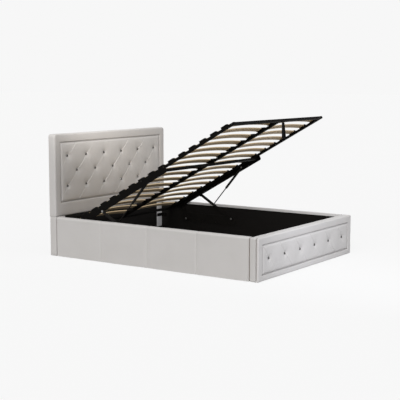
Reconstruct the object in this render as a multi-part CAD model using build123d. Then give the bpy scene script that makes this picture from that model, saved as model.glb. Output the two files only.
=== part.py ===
"""Ottoman bed: an upholstered king-size bed whose slatted platform tilts up at
the foot on gas struts. It is modelled open, as photographed.

Origin: middle of the footprint on the floor. +Z up, +Y to the headboard, +X to
the right for someone who stands at the foot and looks at the headboard. Left
and right in the names are that person's too. Lengths are in millimetres.
"""
from build123d import *
import math
import os

# Overall sizes
overall_width = 1600.0
overall_length = 2150.0
headboard_height = 1075.0
rail_height = 350.0
headboard_thickness = 74.0
footboard_thickness = 84.0
rail_thickness = 46.0
glide_height = 5.0
running_clearance = 0.05
seat_clearance = 0.3
overrun = 20.0

# Upholstery
cover_wall = 16.0
cover_padding = 24.0
cover_corner_radius = 26.0
cover_edge_radius = 11.0
rail_cover_outer = 19.0
rail_cover_top = 16.0
rail_cover_hem = 7.0
rail_cover_lip = 3.0
rail_cover_lip_drop = 21.0
rail_panel_crown = 4.0
rail_top_radius = 15.0
rail_panel_count = 4
back_cloth_thickness = 2.0
back_cloth_inset = 8.0
lining_thickness = 2.0

# Tufted pads
head_pad_side_border = 71.0
head_pad_top_border = 70.0
head_pad_low_border = 118.0
foot_pad_side_border = 60.0
foot_pad_top_border = 60.0
foot_pad_low_border = 43.0
pad_proud = 4.0
pad_edge_radius = 16.0
pleat_depth = 9.0
tuft_across_share = 0.173
tuft_upward_share = 0.25
tuft_row_counts = (6, 5, 6)
head_tuft_rise = 9.0
foot_tuft_rise = 4.0
foot_tuft_count = 6
foot_pleat_share = 0.5
piping_width = 5.0
piping_depth = 9.0
piping_recess = 2.0
button_radius = 12.0
button_top_radius = 7.0
button_height = 8.0
dimple_mouth_radius = 24.0
dimple_floor_radius = 13.0
dimple_floor_below_border = 12.0

# Headboard legs and the boards of the storage box
leg_width = 125.0
leg_edge_radius = 8.0
head_panel_thickness = 18.0
head_panel_setback = 4.0
box_bottom_gap = 7.0
lining_top_gap = 21.0

# Storage floor
batten_width = 20.0
batten_height = 20.0
floor_beam_width = 60.0
floor_panel_thickness = 5.0
floor_panel_count = 3
glide_radius = 20.0
beam_glide_shares = (-0.35, 0, 0.35)
glide_inset = 42.0

# Corner brackets and bolts
bracket_thickness = 3.0
corner_bracket_height = 30.0
corner_bracket_rail_leg = 60.0
corner_bracket_board_leg = 78.0
corner_bracket_upper_z = 202.0
corner_bracket_lower_z = 72.0
corner_bolt_share = 0.66
bolt_radius = 3.5
bolt_head_radius = 6.5
bolt_head_height = 4.0
bolt_bite = 20.0

# Platform frame, placed as if it were closed
tube_width = 26.0
tube_height = 20.0
tube_wall = 1.8
platform_head_gap = 11.0
platform_foot_gap = 31.0
platform_below_rail = 60.0
crossbar_width = 25.0
crossbar_height = 20.0
crossbar_from_head = 1158.0
end_cap_thickness = 3.0
end_cap_plug = 12.0

# Slats
slat_count = 16
slat_width = 54.0
slat_thickness = 8.0
slat_camber = 18.0
slat_end_inset = 8.0
slat_centre_gap = 12.0
slat_margin = 94.0
cap_length = 60.0
cap_width = 27.0
cap_height = 15.0
cap_floor = 2.5
centre_cap_half_width = 34.0
cap_edge_radius = 2.5

# Lift mechanism: pivots on the platform, measured from its head end and underside
lift_tilt_deg = 29.2
head_shift_open = 94.0
head_drop_open = 33.0
front_pivot_from_head = 418.0
front_pivot_below = 33.0
rear_pivot_from_head = 178.0
rear_pivot_below = 18.0
strut_pivot_from_head = 980.0
strut_pivot_below = 12.0
front_arm_length = 408.0
rear_arm_length = 148.0
strut_arm_share = 0.44

# Mechanism plates and links, in layers from the rail inwards
base_plate_thickness = 4.0
base_plate_height = 84.0
base_plate_overlap = 60.0
base_plate_below = 26.0
base_plate_radius = 20.0
base_bolt_count = 4
link_thickness = 5.6
link_width = 26.0
link_eye_radius = 15.0
link_middle_share = 0.5
link_side_clearance = 0.2
shoulder_outer = 3.0
shoulder_inner = 2.0
pin_radius = 6.0
pin_head_radius = 10.0
pin_head_height = 2.4
pin_shoulder_radius = 10.5
top_bracket_thickness = 4.0
top_bracket_drop = 38.0
top_bracket_start = 110.0
top_bracket_end = 1200.0
top_bracket_lug_radius = 18.0
top_bracket_bolt_count = 5

# Gas struts
strut_radius = 11.0
strut_wall = 1.5
strut_cylinder_length = 270.0
strut_guide_length = 14.0
strut_plug_length = 10.0
strut_rod_radius = 5.0
strut_piston_length = 12.0
strut_piston_setback = 18.0
strut_eye_radius = 9.0
strut_eye_width = 10.0
strut_neck_radius = 4.8
strut_neck_length = 22.0
strut_pin_radius = 5.0
strut_spacer_radius = 7.0
strut_from_bracket = 14.0

# Pull strap
strap_width = 20.0
strap_thickness = 1.6
strap_drop = 130.0
strap_near_x = 36.0
strap_far_x = 46.0
strap_loop_near_x = 38.0
strap_loop_far_x = 74.0
strap_loop_radius = 9.0
strap_staple_radius = 2.5
strap_staple_margin = 8.0

# Places that follow from the sizes above
half_width = overall_width / 2
foot_front = -overall_length / 2 + pad_proud
foot_inner = -overall_length / 2 + footboard_thickness
head_back = overall_length / 2
head_inner = overall_length / 2 - headboard_thickness
rail_inner = half_width - rail_thickness
board_inner = rail_inner + rail_cover_lip
board_outer = half_width - rail_cover_outer
board_low = glide_height + rail_cover_hem
board_high = rail_height - rail_cover_top
lining_face = board_inner - lining_thickness
foot_core_back = foot_inner - rail_cover_lip
foot_face = foot_core_back + lining_thickness
lining_low = board_low + box_bottom_gap
lining_high = rail_height - lining_top_gap
leg_inner = half_width - leg_width

head_pad_half_width = half_width - head_pad_side_border
head_pad_low = rail_height + head_pad_low_border
head_pad_high = headboard_height - head_pad_top_border
foot_pad_half_width = half_width - foot_pad_side_border
foot_pad_low = glide_height + foot_pad_low_border
foot_pad_high = rail_height - foot_pad_top_border
tuft_pitch_x = 2 * head_pad_half_width * tuft_across_share
tuft_pitch_z = (head_pad_high - head_pad_low) * tuft_upward_share

# Layers of the mechanism on the right side, as places along X
base_plate_outer = lining_face
base_plate_inner = base_plate_outer - base_plate_thickness
link_outer = base_plate_inner - shoulder_outer - link_side_clearance
link_inner = link_outer - link_thickness
top_bracket_outer = link_inner - link_side_clearance - shoulder_inner
top_bracket_inner = top_bracket_outer - top_bracket_thickness
strut_middle = top_bracket_inner - strut_from_bracket

platform_half_width = top_bracket_inner
platform_head = head_inner - platform_head_gap
platform_foot = foot_inner + platform_foot_gap
platform_underside = rail_height - platform_below_rail
platform_top = platform_underside + tube_height
tube_inner = platform_half_width - tube_width


def box(x0, x1, y0, y1, z0, z1):
    """Block between two corners."""
    size = Box(abs(x1 - x0), abs(y1 - y0), abs(z1 - z0))
    return Pos((x0 + x1) / 2, (y0 + y1) / 2, (z0 + z1) / 2) * size


def rod_x(radius, x0, x1, y, z):
    """Round bar along X."""
    bar = Cylinder(radius, abs(x1 - x0), rotation=(0, 90, 0))
    return Pos((x0 + x1) / 2, y, z) * bar


def rod_y(radius, y0, y1, x, z):
    """Round bar along Y."""
    bar = Cylinder(radius, abs(y1 - y0), rotation=(90, 0, 0))
    return Pos(x, (y0 + y1) / 2, z) * bar


def rod_z(radius, z0, z1, x, y):
    """Round bar along Z."""
    return Pos(x, y, (z0 + z1) / 2) * Cylinder(radius, abs(z1 - z0))


def left_of(shape):
    """Same piece on the left side of the bed."""
    return mirror(shape, about=Plane.YZ)


def spread(first, last, count):
    """Evenly spaced places from first to last."""
    step = (last - first) / max(count - 1, 1)
    return [first + step * i for i in range(count)]


def group(pieces):
    """Separate solids that share one node."""
    solids = []
    for piece in pieces:
        solids.extend(piece.solids())
    return Compound(solids)


def save(name, shape):
    """Write one node."""
    export_step(shape, f"parts/{name}.step")


# Linkage geometry, in the plane across the pivots: pairs of (y, z)


def turned(vector, degrees):
    """A (y, z) pair turned about +X."""
    c = math.cos(math.radians(degrees))
    s = math.sin(math.radians(degrees))
    return (c * vector[0] - s * vector[1], s * vector[0] + c * vector[1])


def platform_point(from_head, below):
    """Closed place of a point given by its distance from the head end and below the underside."""
    return (platform_head - from_head, platform_underside - below)


def opened(point):
    """Open place of a point of the closed platform."""
    arm = turned((point[0] - platform_head, point[1] - platform_underside), -lift_tilt_deg)
    return (platform_head - head_shift_open + arm[0], platform_underside - head_drop_open + arm[1])


def base_pivot(closed, open_place, length):
    """Fixed pivot of an arm that carries a platform pivot from its closed to its open place."""
    dy = open_place[0] - closed[0]
    dz = open_place[1] - closed[1]
    chord = math.hypot(dy, dz)
    reach = math.sqrt(length ** 2 - (chord / 2) ** 2)
    middle = ((closed[0] + open_place[0]) / 2, (closed[1] + open_place[1]) / 2)
    side = (-dz / chord, dy / chord)
    return (middle[0] + side[0] * reach, middle[1] + side[1] * reach)


def bearing(start, end):
    """Angle of the line from start to end, in degrees from +Y towards +Z."""
    return math.degrees(math.atan2(end[1] - start[1], end[0] - start[0]))


def gap_between(start, end):
    """Distance between two (y, z) pairs."""
    return math.hypot(end[0] - start[0], end[1] - start[1])


def along(start, end, share):
    """Point on the line from start to end."""
    return (start[0] + (end[0] - start[0]) * share, start[1] + (end[1] - start[1]) * share)


front_closed = platform_point(front_pivot_from_head, front_pivot_below)
rear_closed = platform_point(rear_pivot_from_head, rear_pivot_below)
strut_closed = platform_point(strut_pivot_from_head, strut_pivot_below)
front_open = opened(front_closed)
rear_open = opened(rear_closed)
strut_open = opened(strut_closed)
front_base = base_pivot(front_closed, front_open, front_arm_length)
rear_base = base_pivot(rear_closed, rear_open, rear_arm_length)
strut_foot_closed = along(front_closed, front_base, strut_arm_share)
strut_foot_open = along(front_open, front_base, strut_arm_share)
strut_length_open = gap_between(strut_open, strut_foot_open)
strut_length_closed = gap_between(strut_closed, strut_foot_closed)
strut_stroke = strut_length_open - strut_length_closed


def open_platform(shape):
    """Closed platform piece, moved to the open place."""
    to_head = Pos(0, -platform_head, -platform_underside)
    tilt = Rot(-lift_tilt_deg, 0, 0)
    back = Pos(0, platform_head - head_shift_open, platform_underside - head_drop_open)
    return back * tilt * to_head * shape


# Tufted pads


def pleated_sheet(middle_z, rib_shift, half_diagonal, slant, front_y, back_y):
    """Slab with arched ribs that run along one family of diagonal pleats."""
    reach = math.hypot(tuft_pitch_x / 2, tuft_pitch_z)
    pitch = tuft_pitch_x * tuft_pitch_z / reach
    run = Vector(slant * tuft_pitch_x / 2, 0, tuft_pitch_z).normalized()
    across = Vector(tuft_pitch_z, 0, -slant * tuft_pitch_x / 2).normalized()
    valley_y = front_y + pleat_depth
    rib_count = math.ceil(half_diagonal / pitch) + 1
    starts = [(i + rib_shift) * pitch for i in range(-rib_count, rib_count)]
    end = starts[-1] + pitch
    edges = []
    for start in starts:
        crown = (start + pitch / 2, front_y)
        edges.append(ThreePointArc((start, valley_y), crown, (start + pitch, valley_y)))
    edges.append(Polyline((end, valley_y), (end, back_y), (starts[0], back_y), (starts[0], valley_y)))
    profile = make_face(Curve() + edges)
    sheet_plane = Plane(origin=(0, 0, middle_z), x_dir=across, z_dir=run)
    return extrude(sheet_plane * profile, amount=half_diagonal, both=True)


def pad_blank(half_w, low, high, front_y, back_y):
    """Pad outline with rounded front edges."""
    plan = box(-half_w, half_w, front_y, back_y, low, high)
    front_edges = plan.faces().sort_by(Axis.Y)[0].edges()
    return fillet(front_edges, min(pad_edge_radius, back_y - front_y - piping_recess))


def tufted_pad(half_w, low, high, border_y, buttons, middle_z, rib_shift):
    """Crowned pad with diagonal pleats and a dimple for each button."""
    front_y = border_y - pad_proud
    back_y = border_y + cover_padding
    half_diagonal = math.hypot(half_w, high - low)
    pad = pad_blank(half_w, low, high, front_y, back_y)
    for slant in (-1, 1):
        pad &= pleated_sheet(middle_z, rib_shift, half_diagonal, slant, front_y, back_y)
    for x, z in buttons:
        floor_y = border_y + dimple_floor_below_border
        depth = floor_y - front_y
        cone = Cone(dimple_floor_radius, dimple_mouth_radius, depth, rotation=(90, 0, 0))
        pad -= Pos(x, floor_y - depth / 2, z) * cone
    return pad


def button_places(counts, middle_z):
    """Places of the buttons, row by row."""
    places = []
    for row, count in enumerate(counts):
        z = middle_z + ((len(counts) - 1) / 2 - row) * tuft_pitch_z
        for i in range(count):
            places.append(((i - (count - 1) / 2) * tuft_pitch_x, z))
    return places


def buttons_group(places, border_y):
    """Cut-glass buttons on the floors of the dimples."""
    seat_y = border_y + dimple_floor_below_border
    shape = Cone(button_radius, button_top_radius, button_height, rotation=(90, 0, 0))
    return group([Pos(x, seat_y - button_height / 2, z) * shape for x, z in places])


def piping_frame(half_w, low, high, border_y):
    """Piping that fills the groove between pad and border."""
    y0 = border_y + piping_recess
    y1 = y0 + piping_depth
    ring = box(-half_w, half_w, y0, y1, low, high)
    inner = box(-half_w + piping_width, half_w - piping_width, y0 - overrun, y1 + overrun,
                low + piping_width, high - piping_width)
    return ring - inner


# Headboard


def headboard_pieces():
    """Headboard with its pad and trim."""
    core_y = head_inner + cover_padding
    back_y = head_back - back_cloth_thickness
    outline = box(-half_width, half_width, head_inner, back_y, rail_height, headboard_height)
    top_corners = outline.edges().filter_by(Axis.Y).group_by(Axis.Z)[-1]
    cover = fillet(top_corners, cover_corner_radius)
    front_rim = cover.faces().sort_by(Axis.Y)[0].edges()
    cover = fillet(front_rim, cover_edge_radius)
    pocket_x = half_width - cover_wall
    pocket_low = rail_height + cover_wall
    pocket_high = headboard_height - cover_wall
    core = box(-pocket_x, pocket_x, core_y, back_y, pocket_low, pocket_high)
    core = fillet(core.edges().filter_by(Axis.Y).group_by(Axis.Z)[-1], cover_corner_radius - cover_wall)
    cover -= core
    cover -= box(-head_pad_half_width, head_pad_half_width, head_inner - overrun, core_y,
                 head_pad_low, head_pad_high)
    middle_z = (head_pad_low + head_pad_high) / 2 + head_tuft_rise
    places = button_places(tuft_row_counts, middle_z)
    pad = tufted_pad(head_pad_half_width - piping_width, head_pad_low + piping_width,
                     head_pad_high - piping_width, head_inner, places, middle_z, 0)
    cloth = box(-half_width + back_cloth_inset, half_width - back_cloth_inset, back_y, head_back,
                rail_height + back_cloth_inset, headboard_height - back_cloth_inset)
    cloth_corners = cloth.edges().filter_by(Axis.Y).group_by(Axis.Z)[-1]
    cloth = fillet(cloth_corners, cover_corner_radius - back_cloth_inset)
    save("headboard_cover", cover)
    save("headboard_core", core)
    save("headboard_back_cloth", cloth)
    save("headboard_tufted_pad", pad)
    save("headboard_piping", piping_frame(head_pad_half_width, head_pad_low, head_pad_high, head_inner))
    save("headboard_buttons", buttons_group(places, head_inner))


def headboard_legs(bolt_holes):
    """Two upholstered legs and the black board between them."""
    leg = box(leg_inner, half_width, head_inner, head_back, glide_height, rail_height)
    leg = fillet(leg.edges().filter_by(Axis.Z), leg_edge_radius)
    leg = drilled(leg, bolt_holes)
    save("headboard_leg_right", leg)
    save("headboard_leg_left", left_of(leg))
    y0 = head_inner + head_panel_setback
    panel = box(-leg_inner, leg_inner, y0, y0 + head_panel_thickness, board_low, rail_height)
    save("head_end_panel", panel)


# Footboard


def footboard_pieces(bolt_holes):
    """Footboard with its pad and trim."""
    core_y = foot_front + cover_padding
    outline = box(-half_width, half_width, foot_front, foot_inner, glide_height, rail_height)
    upright = outline.edges().filter_by(Axis.Z).group_by(Axis.Y)[0]
    top = outline.edges().filter_by(Axis.X).group_by(Axis.Z)[-1]
    cover = fillet(upright + top, cover_edge_radius)
    core = box(-half_width + cover_wall, half_width - cover_wall, core_y, foot_core_back,
               glide_height + cover_wall, rail_height - cover_wall)
    cover -= core
    cover -= box(-board_inner, board_inner, foot_core_back, foot_inner + overrun, lining_low, lining_high)
    cover -= box(-foot_pad_half_width, foot_pad_half_width, foot_front - overrun, core_y,
                 foot_pad_low, foot_pad_high)
    middle_z = (foot_pad_low + foot_pad_high) / 2 + foot_tuft_rise
    places = button_places((foot_tuft_count,), middle_z)
    pad = tufted_pad(foot_pad_half_width - piping_width, foot_pad_low + piping_width,
                     foot_pad_high - piping_width, foot_front, places, middle_z, foot_pleat_share)
    save("footboard_cover", cover)
    save("footboard_core", drilled(core, bolt_holes))
    save("footboard_tufted_pad", pad)
    save("footboard_piping", piping_frame(foot_pad_half_width, foot_pad_low, foot_pad_high, foot_front))
    save("footboard_buttons", buttons_group(places, foot_front))


# Side rails


def rail_outline():
    """Rail with softly crowned panels between its upright seams and a rounded top."""
    seam_x = half_width - rail_panel_crown
    stops = spread(foot_inner, head_inner, rail_panel_count + 1)
    edges = []
    for y0, y1 in zip(stops, stops[1:]):
        edges.append(ThreePointArc((seam_x, y0), (half_width, (y0 + y1) / 2), (seam_x, y1)))
    edges.append(Polyline((seam_x, head_inner), (rail_inner, head_inner),
                          (rail_inner, foot_inner), (seam_x, foot_inner)))
    plan = make_face(Curve() + edges)
    panels = extrude(plan, amount=rail_height - glide_height)
    panels = Pos(0, 0, glide_height) * panels
    section = box(rail_inner, half_width, foot_inner, head_inner, glide_height, rail_height)
    top_edges = section.edges().filter_by(Axis.Y).group_by(Axis.Z)[-1]
    return panels & fillet(top_edges, rail_top_radius)


def side_rails(board_bolts):
    """Timber boards and their padded covers."""
    board = box(board_inner, board_outer, foot_inner, head_inner, board_low, board_high)
    cover = rail_outline() - board
    cover -= box(rail_inner - overrun, board_inner, foot_inner - overrun, head_inner + overrun,
                 board_low, rail_height - rail_cover_lip_drop)
    for bolt in board_bolts:
        board -= bolt
    save("side_rail_board_right", board)
    save("side_rail_board_left", left_of(board))
    save("side_rail_cover_right", cover)
    save("side_rail_cover_left", left_of(cover))


# Bolts: a head on a face and a shank into what lies behind it


def bolt_into_x(face_x, y, z, bite, radius):
    """Shank along +X from a face."""
    return rod_x(radius, face_x, face_x + bite, y, z)


def bolt_along_x(face_x, y, z, bite):
    """Bolt whose head sits on a face that looks towards -X."""
    head = rod_x(bolt_head_radius, face_x - bolt_head_height, face_x, y, z)
    return head + bolt_into_x(face_x, y, z, bite, bolt_radius)


def bolt_into_y(face_y, x, z, bite, radius):
    """Shank along Y from a face, towards +Y for a positive bite."""
    return rod_y(radius, face_y, face_y + bite, x, z)


def bolt_along_y(face_y, x, z, bite):
    """Bolt whose head sits on a face square to Y."""
    side = math.copysign(bolt_head_height, bite)
    head = rod_y(bolt_head_radius, face_y - side, face_y, x, z)
    return head + bolt_into_y(face_y, x, z, bite, bolt_radius)


bracket_face = lining_face - bracket_thickness
corner_heights = (corner_bracket_upper_z, corner_bracket_lower_z)
bolt_hole_radius = bolt_radius + running_clearance


def rail_bolt_places():
    """Places (y, z) of the corner bolts in the right rail."""
    places = []
    reach = corner_bracket_rail_leg * corner_bolt_share
    for z in corner_heights:
        places.append((head_inner - reach, z))
        places.append((foot_face + reach, z))
    return places


def board_bolt_places():
    """Places (x, z) of the corner bolts in the headboard leg or the footboard."""
    x = lining_face - corner_bracket_board_leg * corner_bolt_share
    return [(x, z) for z in corner_heights]


def base_bolt_places():
    """Places (y, z) of the base plate's bolts."""
    z = min(front_base[1], rear_base[1]) - base_plate_below + bolt_head_radius * 2
    first = front_base[0] + link_eye_radius * 2
    last = rear_base[0] - link_eye_radius * 3
    return [(y, z) for y in spread(first, last, base_bolt_count)]


def corner_bracket(end_y, towards, z):
    """Angle between the right rail and the board at its end."""
    rail_y = end_y - towards * corner_bracket_rail_leg
    z0 = z - corner_bracket_height / 2
    z1 = z + corner_bracket_height / 2
    on_rail = box(bracket_face, lining_face, rail_y, end_y, z0, z1)
    on_board = box(lining_face - corner_bracket_board_leg, lining_face, end_y - towards * bracket_thickness,
                   end_y, z0, z1)
    return on_rail + on_board


def drilled(shape, holes):
    """Piece with its bolt holes."""
    for hole in holes:
        shape -= hole
    return shape


def corner_fixings():
    """Corner brackets and the bolts that hold the rails to the ends."""
    radius = bolt_hole_radius
    depth = bolt_bite + lining_thickness + bracket_thickness
    rail_holes = [bolt_into_x(bracket_face, y, z, depth, radius) for y, z in rail_bolt_places()]
    head_face = head_inner - bracket_thickness
    foot_bracket_face = foot_face + bracket_thickness
    head_holes = [bolt_into_y(head_face, x, z, depth, radius) for x, z in board_bolt_places()]
    foot_holes = [bolt_into_y(foot_bracket_face, x, z, -depth, radius) for x, z in board_bolt_places()]
    head_set = [drilled(corner_bracket(head_inner, 1, z), rail_holes + head_holes) for z in corner_heights]
    foot_set = [drilled(corner_bracket(foot_face, -1, z), rail_holes + foot_holes) for z in corner_heights]
    bolts = [bolt_along_x(bracket_face, y, z, depth) for y, z in rail_bolt_places()]
    bolts += [bolt_along_y(head_face, x, z, depth) for x, z in board_bolt_places()]
    bolts += [bolt_along_y(foot_bracket_face, x, z, -depth) for x, z in board_bolt_places()]
    save("head_corner_brackets", group(head_set + [left_of(b) for b in head_set]))
    save("foot_corner_brackets", group(foot_set + [left_of(b) for b in foot_set]))
    save("frame_bolts", group(bolts + [left_of(b) for b in bolts]))
    return rail_holes, head_holes, foot_holes


# Storage box: lining, floor and glides


def storage_lining(side_holes, foot_holes):
    """Black cloth on the inside of the rails, the footboard and the head end board."""
    side = box(lining_face, board_inner, foot_core_back, head_inner, lining_low, lining_high)
    side = drilled(side, side_holes)
    foot = box(-lining_face, lining_face, foot_core_back, foot_face, lining_low, lining_high)
    foot = drilled(foot, foot_holes + [left_of(hole) for hole in foot_holes])
    panel_y = head_inner + head_panel_setback
    head = box(-leg_inner, leg_inner, panel_y - lining_thickness, panel_y, lining_low, lining_high)
    save("storage_lining", group([side, left_of(side), foot, head]))


def storage_floor():
    """Floor panels on side battens and a centre beam."""
    top = board_low + batten_height
    batten = box(lining_face - batten_width, lining_face, foot_inner, head_inner, board_low, top)
    beam = box(-floor_beam_width / 2, floor_beam_width / 2, foot_inner, head_inner, glide_height, top)
    save("floor_battens", group([batten, left_of(batten)]))
    save("floor_centre_beam", beam)
    edge = lining_face - seat_clearance
    joints = spread(foot_inner, head_inner, floor_panel_count + 1)
    for name, y0, y1 in zip(("foot", "middle", "head"), joints, joints[1:]):
        panel = box(-edge, edge, y0, y1, top, top + floor_panel_thickness)
        save(f"floor_panel_{name}", panel)


def floor_glides():
    """Round glides under the legs, the footboard and the centre beam."""
    places = []
    for side in (-1, 1):
        corner_x = side * (half_width - glide_inset)
        places.append((corner_x, (head_inner + head_back) / 2))
        places.append((corner_x, (foot_front + foot_inner) / 2))
    for share in beam_glide_shares:
        places.append((0, share * overall_length))
    save("floor_glides", group([rod_z(glide_radius, 0, glide_height, x, y) for x, y in places]))


# Links and pins of the mechanism, on the right side


def link_bar(start, end, x0, x1, bores):
    """Flat bar with round eyes between two pivots, in the open pose."""
    length = gap_between(start, end)
    middle = along(start, end, link_middle_share)
    body = Box(x1 - x0, length, link_width)
    place = Pos((x0 + x1) / 2, middle[0], middle[1]) * Rot(bearing(start, end), 0, 0)
    bar = place * body
    for y, z in (start, end):
        bar += rod_x(link_eye_radius, x0, x1, y, z)
    for y, z in bores:
        bar -= rod_x(pin_radius + running_clearance, x0 - overrun, x1 + overrun, y, z)
    return bar


def pivot_pin(seat_x, far_x, pivot, shoulder):
    """Headed pin that stands on a face at seat_x and passes a link on its way to far_x."""
    side = math.copysign(1, far_x - seat_x)
    y, z = pivot
    pin = rod_x(pin_shoulder_radius, seat_x, seat_x + side * shoulder, y, z)
    pin += rod_x(pin_radius, seat_x, far_x, y, z)
    return pin + rod_x(pin_head_radius, far_x, far_x + side * pin_head_height, y, z)


def mechanism_base(holes):
    """Steel plate bolted to the inside of the rail."""
    low = min(front_base[1], rear_base[1]) - base_plate_below
    plate = box(base_plate_inner, base_plate_outer, front_base[0] - base_plate_overlap,
                rear_base[0] + base_plate_overlap, low, low + base_plate_height)
    plate = fillet(plate.edges().filter_by(Axis.X), base_plate_radius)
    plate = drilled(plate, holes)
    save("mechanism_base_right", plate)
    save("mechanism_base_left", left_of(plate))
    link_side = link_inner - link_side_clearance
    pins = []
    for pivot in (front_base, rear_base):
        pins.append(pivot_pin(base_plate_inner, link_side, pivot, shoulder_outer))
    save("base_pivot_pins", group(pins + [left_of(pin) for pin in pins]))


def base_bolts():
    """Bolts of the base plates, with the holes that they need."""
    depth = base_plate_thickness + lining_thickness + bolt_bite
    holes = [bolt_into_x(base_plate_inner, y, z, depth, bolt_hole_radius) for y, z in base_bolt_places()]
    bolts = [bolt_along_x(base_plate_inner, y, z, depth) for y, z in base_bolt_places()]
    save("mechanism_base_bolts", group(bolts + [left_of(bolt) for bolt in bolts]))
    return holes


def arms():
    """Front and rear arms, and the pins that the rear arms carry."""
    front = link_bar(front_base, front_open, link_inner, link_outer, (front_base, front_open))
    rear = link_bar(rear_base, rear_open, link_inner, link_outer, (rear_base, rear_open))
    save("front_arm_right", front)
    save("front_arm_left", left_of(front))
    save("rear_arm_right", rear)
    save("rear_arm_left", left_of(rear))
    seat = top_bracket_outer + seat_clearance
    pin = pivot_pin(seat, link_outer + link_side_clearance, rear_open, shoulder_inner - seat_clearance)
    save("rear_arm_pins", group([pin, left_of(pin)]))


# Platform frame


def hollow_bar(x0, x1, y0, y1, z0, z1, axis):
    """Rectangular tube along the named axis, open at its ends."""
    outer = box(x0, x1, y0, y1, z0, z1)
    wall_x = 0 if axis == "X" else tube_wall
    wall_y = 0 if axis == "Y" else tube_wall
    return outer - box(x0 + wall_x, x1 - wall_x, y0 + wall_y, y1 - wall_y, z0 + tube_wall, z1 - tube_wall)


def bracket_bolt_places():
    """Places (y, z) of the bolts that hold a top bracket to its tube, closed."""
    z = platform_underside + tube_height / 2
    first = platform_head - top_bracket_start - top_bracket_lug_radius
    last = platform_head - top_bracket_end + top_bracket_lug_radius
    return [(y, z) for y in spread(first, last, top_bracket_bolt_count)]


def platform_frame(holes):
    """Welded steel tubes of the platform and their plastic end caps."""
    z0 = platform_underside
    z1 = platform_top
    foot = platform_foot + end_cap_thickness
    head = platform_head - end_cap_thickness
    side = hollow_bar(tube_inner, platform_half_width, foot, head, z0, z1, "Y")
    side = drilled(side, holes)
    foot_tube = hollow_bar(-tube_inner, tube_inner, foot, foot + tube_width, z0, z1, "X")
    head_tube = hollow_bar(-tube_inner, tube_inner, head - tube_width, head, z0, z1, "X")
    centre = hollow_bar(-tube_width / 2, tube_width / 2, foot + tube_width, head - tube_width, z0, z1, "Y")
    bar_y = platform_head - crossbar_from_head
    crossbar = hollow_bar(-platform_half_width, platform_half_width, bar_y - crossbar_width / 2,
                          bar_y + crossbar_width / 2, z0 - crossbar_height, z0, "X")
    caps = []
    for y, into in ((foot, 1), (head, -1)):
        plate = box(tube_inner, platform_half_width, y - into * end_cap_thickness, y, z0, z1)
        inset = tube_wall + running_clearance
        plug = box(tube_inner + inset, platform_half_width - inset, y, y + into * end_cap_plug,
                   z0 + inset, z1 - inset)
        caps.append(plate + plug)
    caps += [left_of(cap) for cap in caps]
    save("platform_side_tube_right", open_platform(side))
    save("platform_side_tube_left", open_platform(left_of(side)))
    save("platform_foot_tube", open_platform(foot_tube))
    save("platform_head_tube", open_platform(head_tube))
    save("platform_centre_tube", open_platform(centre))
    save("platform_crossbar", open_platform(crossbar))
    save("platform_end_caps", open_platform(group(caps)))


def slat_bar(y, grow):
    """Arched slat on the right side, grown all round by grow."""
    x0 = slat_centre_gap - grow
    x1 = platform_half_width - slat_end_inset + grow
    middle = (x0 + x1) / 2
    low = platform_top + cap_floor - grow
    high = platform_top + cap_floor + slat_thickness + grow
    under = ThreePointArc((x0, low), (middle, low + slat_camber), (x1, low))
    over = ThreePointArc((x1, high), (middle, high + slat_camber), (x0, high))
    ends = [Line((x1, low), (x1, high)), Line((x0, high), (x0, low))]
    face = make_face(Curve() + [under, ends[0], over, ends[1]])
    bar = extrude(Plane.XZ * face, amount=slat_width / 2 + grow, both=True)
    return Pos(0, y, 0) * bar


def slat_cap(x0, x1, y):
    """Cap that stands on a tube and holds slat ends."""
    cap = box(x0, x1, y - cap_length / 2, y + cap_length / 2, platform_top, platform_top + cap_height)
    return fillet(cap.faces().sort_by(Axis.Z)[-1].edges(), cap_edge_radius)


def slats_and_caps():
    """Two rows of sprung slats in their caps."""
    places = spread(platform_foot + slat_margin, platform_head - slat_margin, slat_count)
    slats = []
    outer_caps = []
    centre_caps = []
    for y in places:
        slot = slat_bar(y, seat_clearance)
        slats.append(slat_bar(y, 0))
        outer_caps.append(slat_cap(platform_half_width - cap_width, platform_half_width, y) - slot)
        centre_caps.append(slat_cap(-centre_cap_half_width, centre_cap_half_width, y) - slot - left_of(slot))
    save("slats_right", open_platform(group(slats)))
    save("slats_left", open_platform(group([left_of(slat) for slat in slats])))
    save("slat_caps_right", open_platform(group(outer_caps)))
    save("slat_caps_left", open_platform(group([left_of(cap) for cap in outer_caps])))
    save("slat_caps_centre", open_platform(group(centre_caps)))


# Top brackets with the pivots that they carry


def bracket_fixings():
    """Bolts of the top brackets, with the holes that they need, closed."""
    depth = top_bracket_thickness + tube_wall + bolt_head_height
    holes = []
    bolts = []
    for y, z in bracket_bolt_places():
        holes.append(rod_x(bolt_hole_radius, top_bracket_outer + overrun, top_bracket_outer - depth, y, z))
        head = rod_x(bolt_head_radius, top_bracket_outer, top_bracket_outer + bolt_head_height, y, z)
        bolts.append(head + rod_x(bolt_radius, top_bracket_outer, top_bracket_outer - depth, y, z))
    bolts += [left_of(bolt) for bolt in bolts]
    save("platform_bracket_bolts", open_platform(group(bolts)))
    return holes


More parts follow.
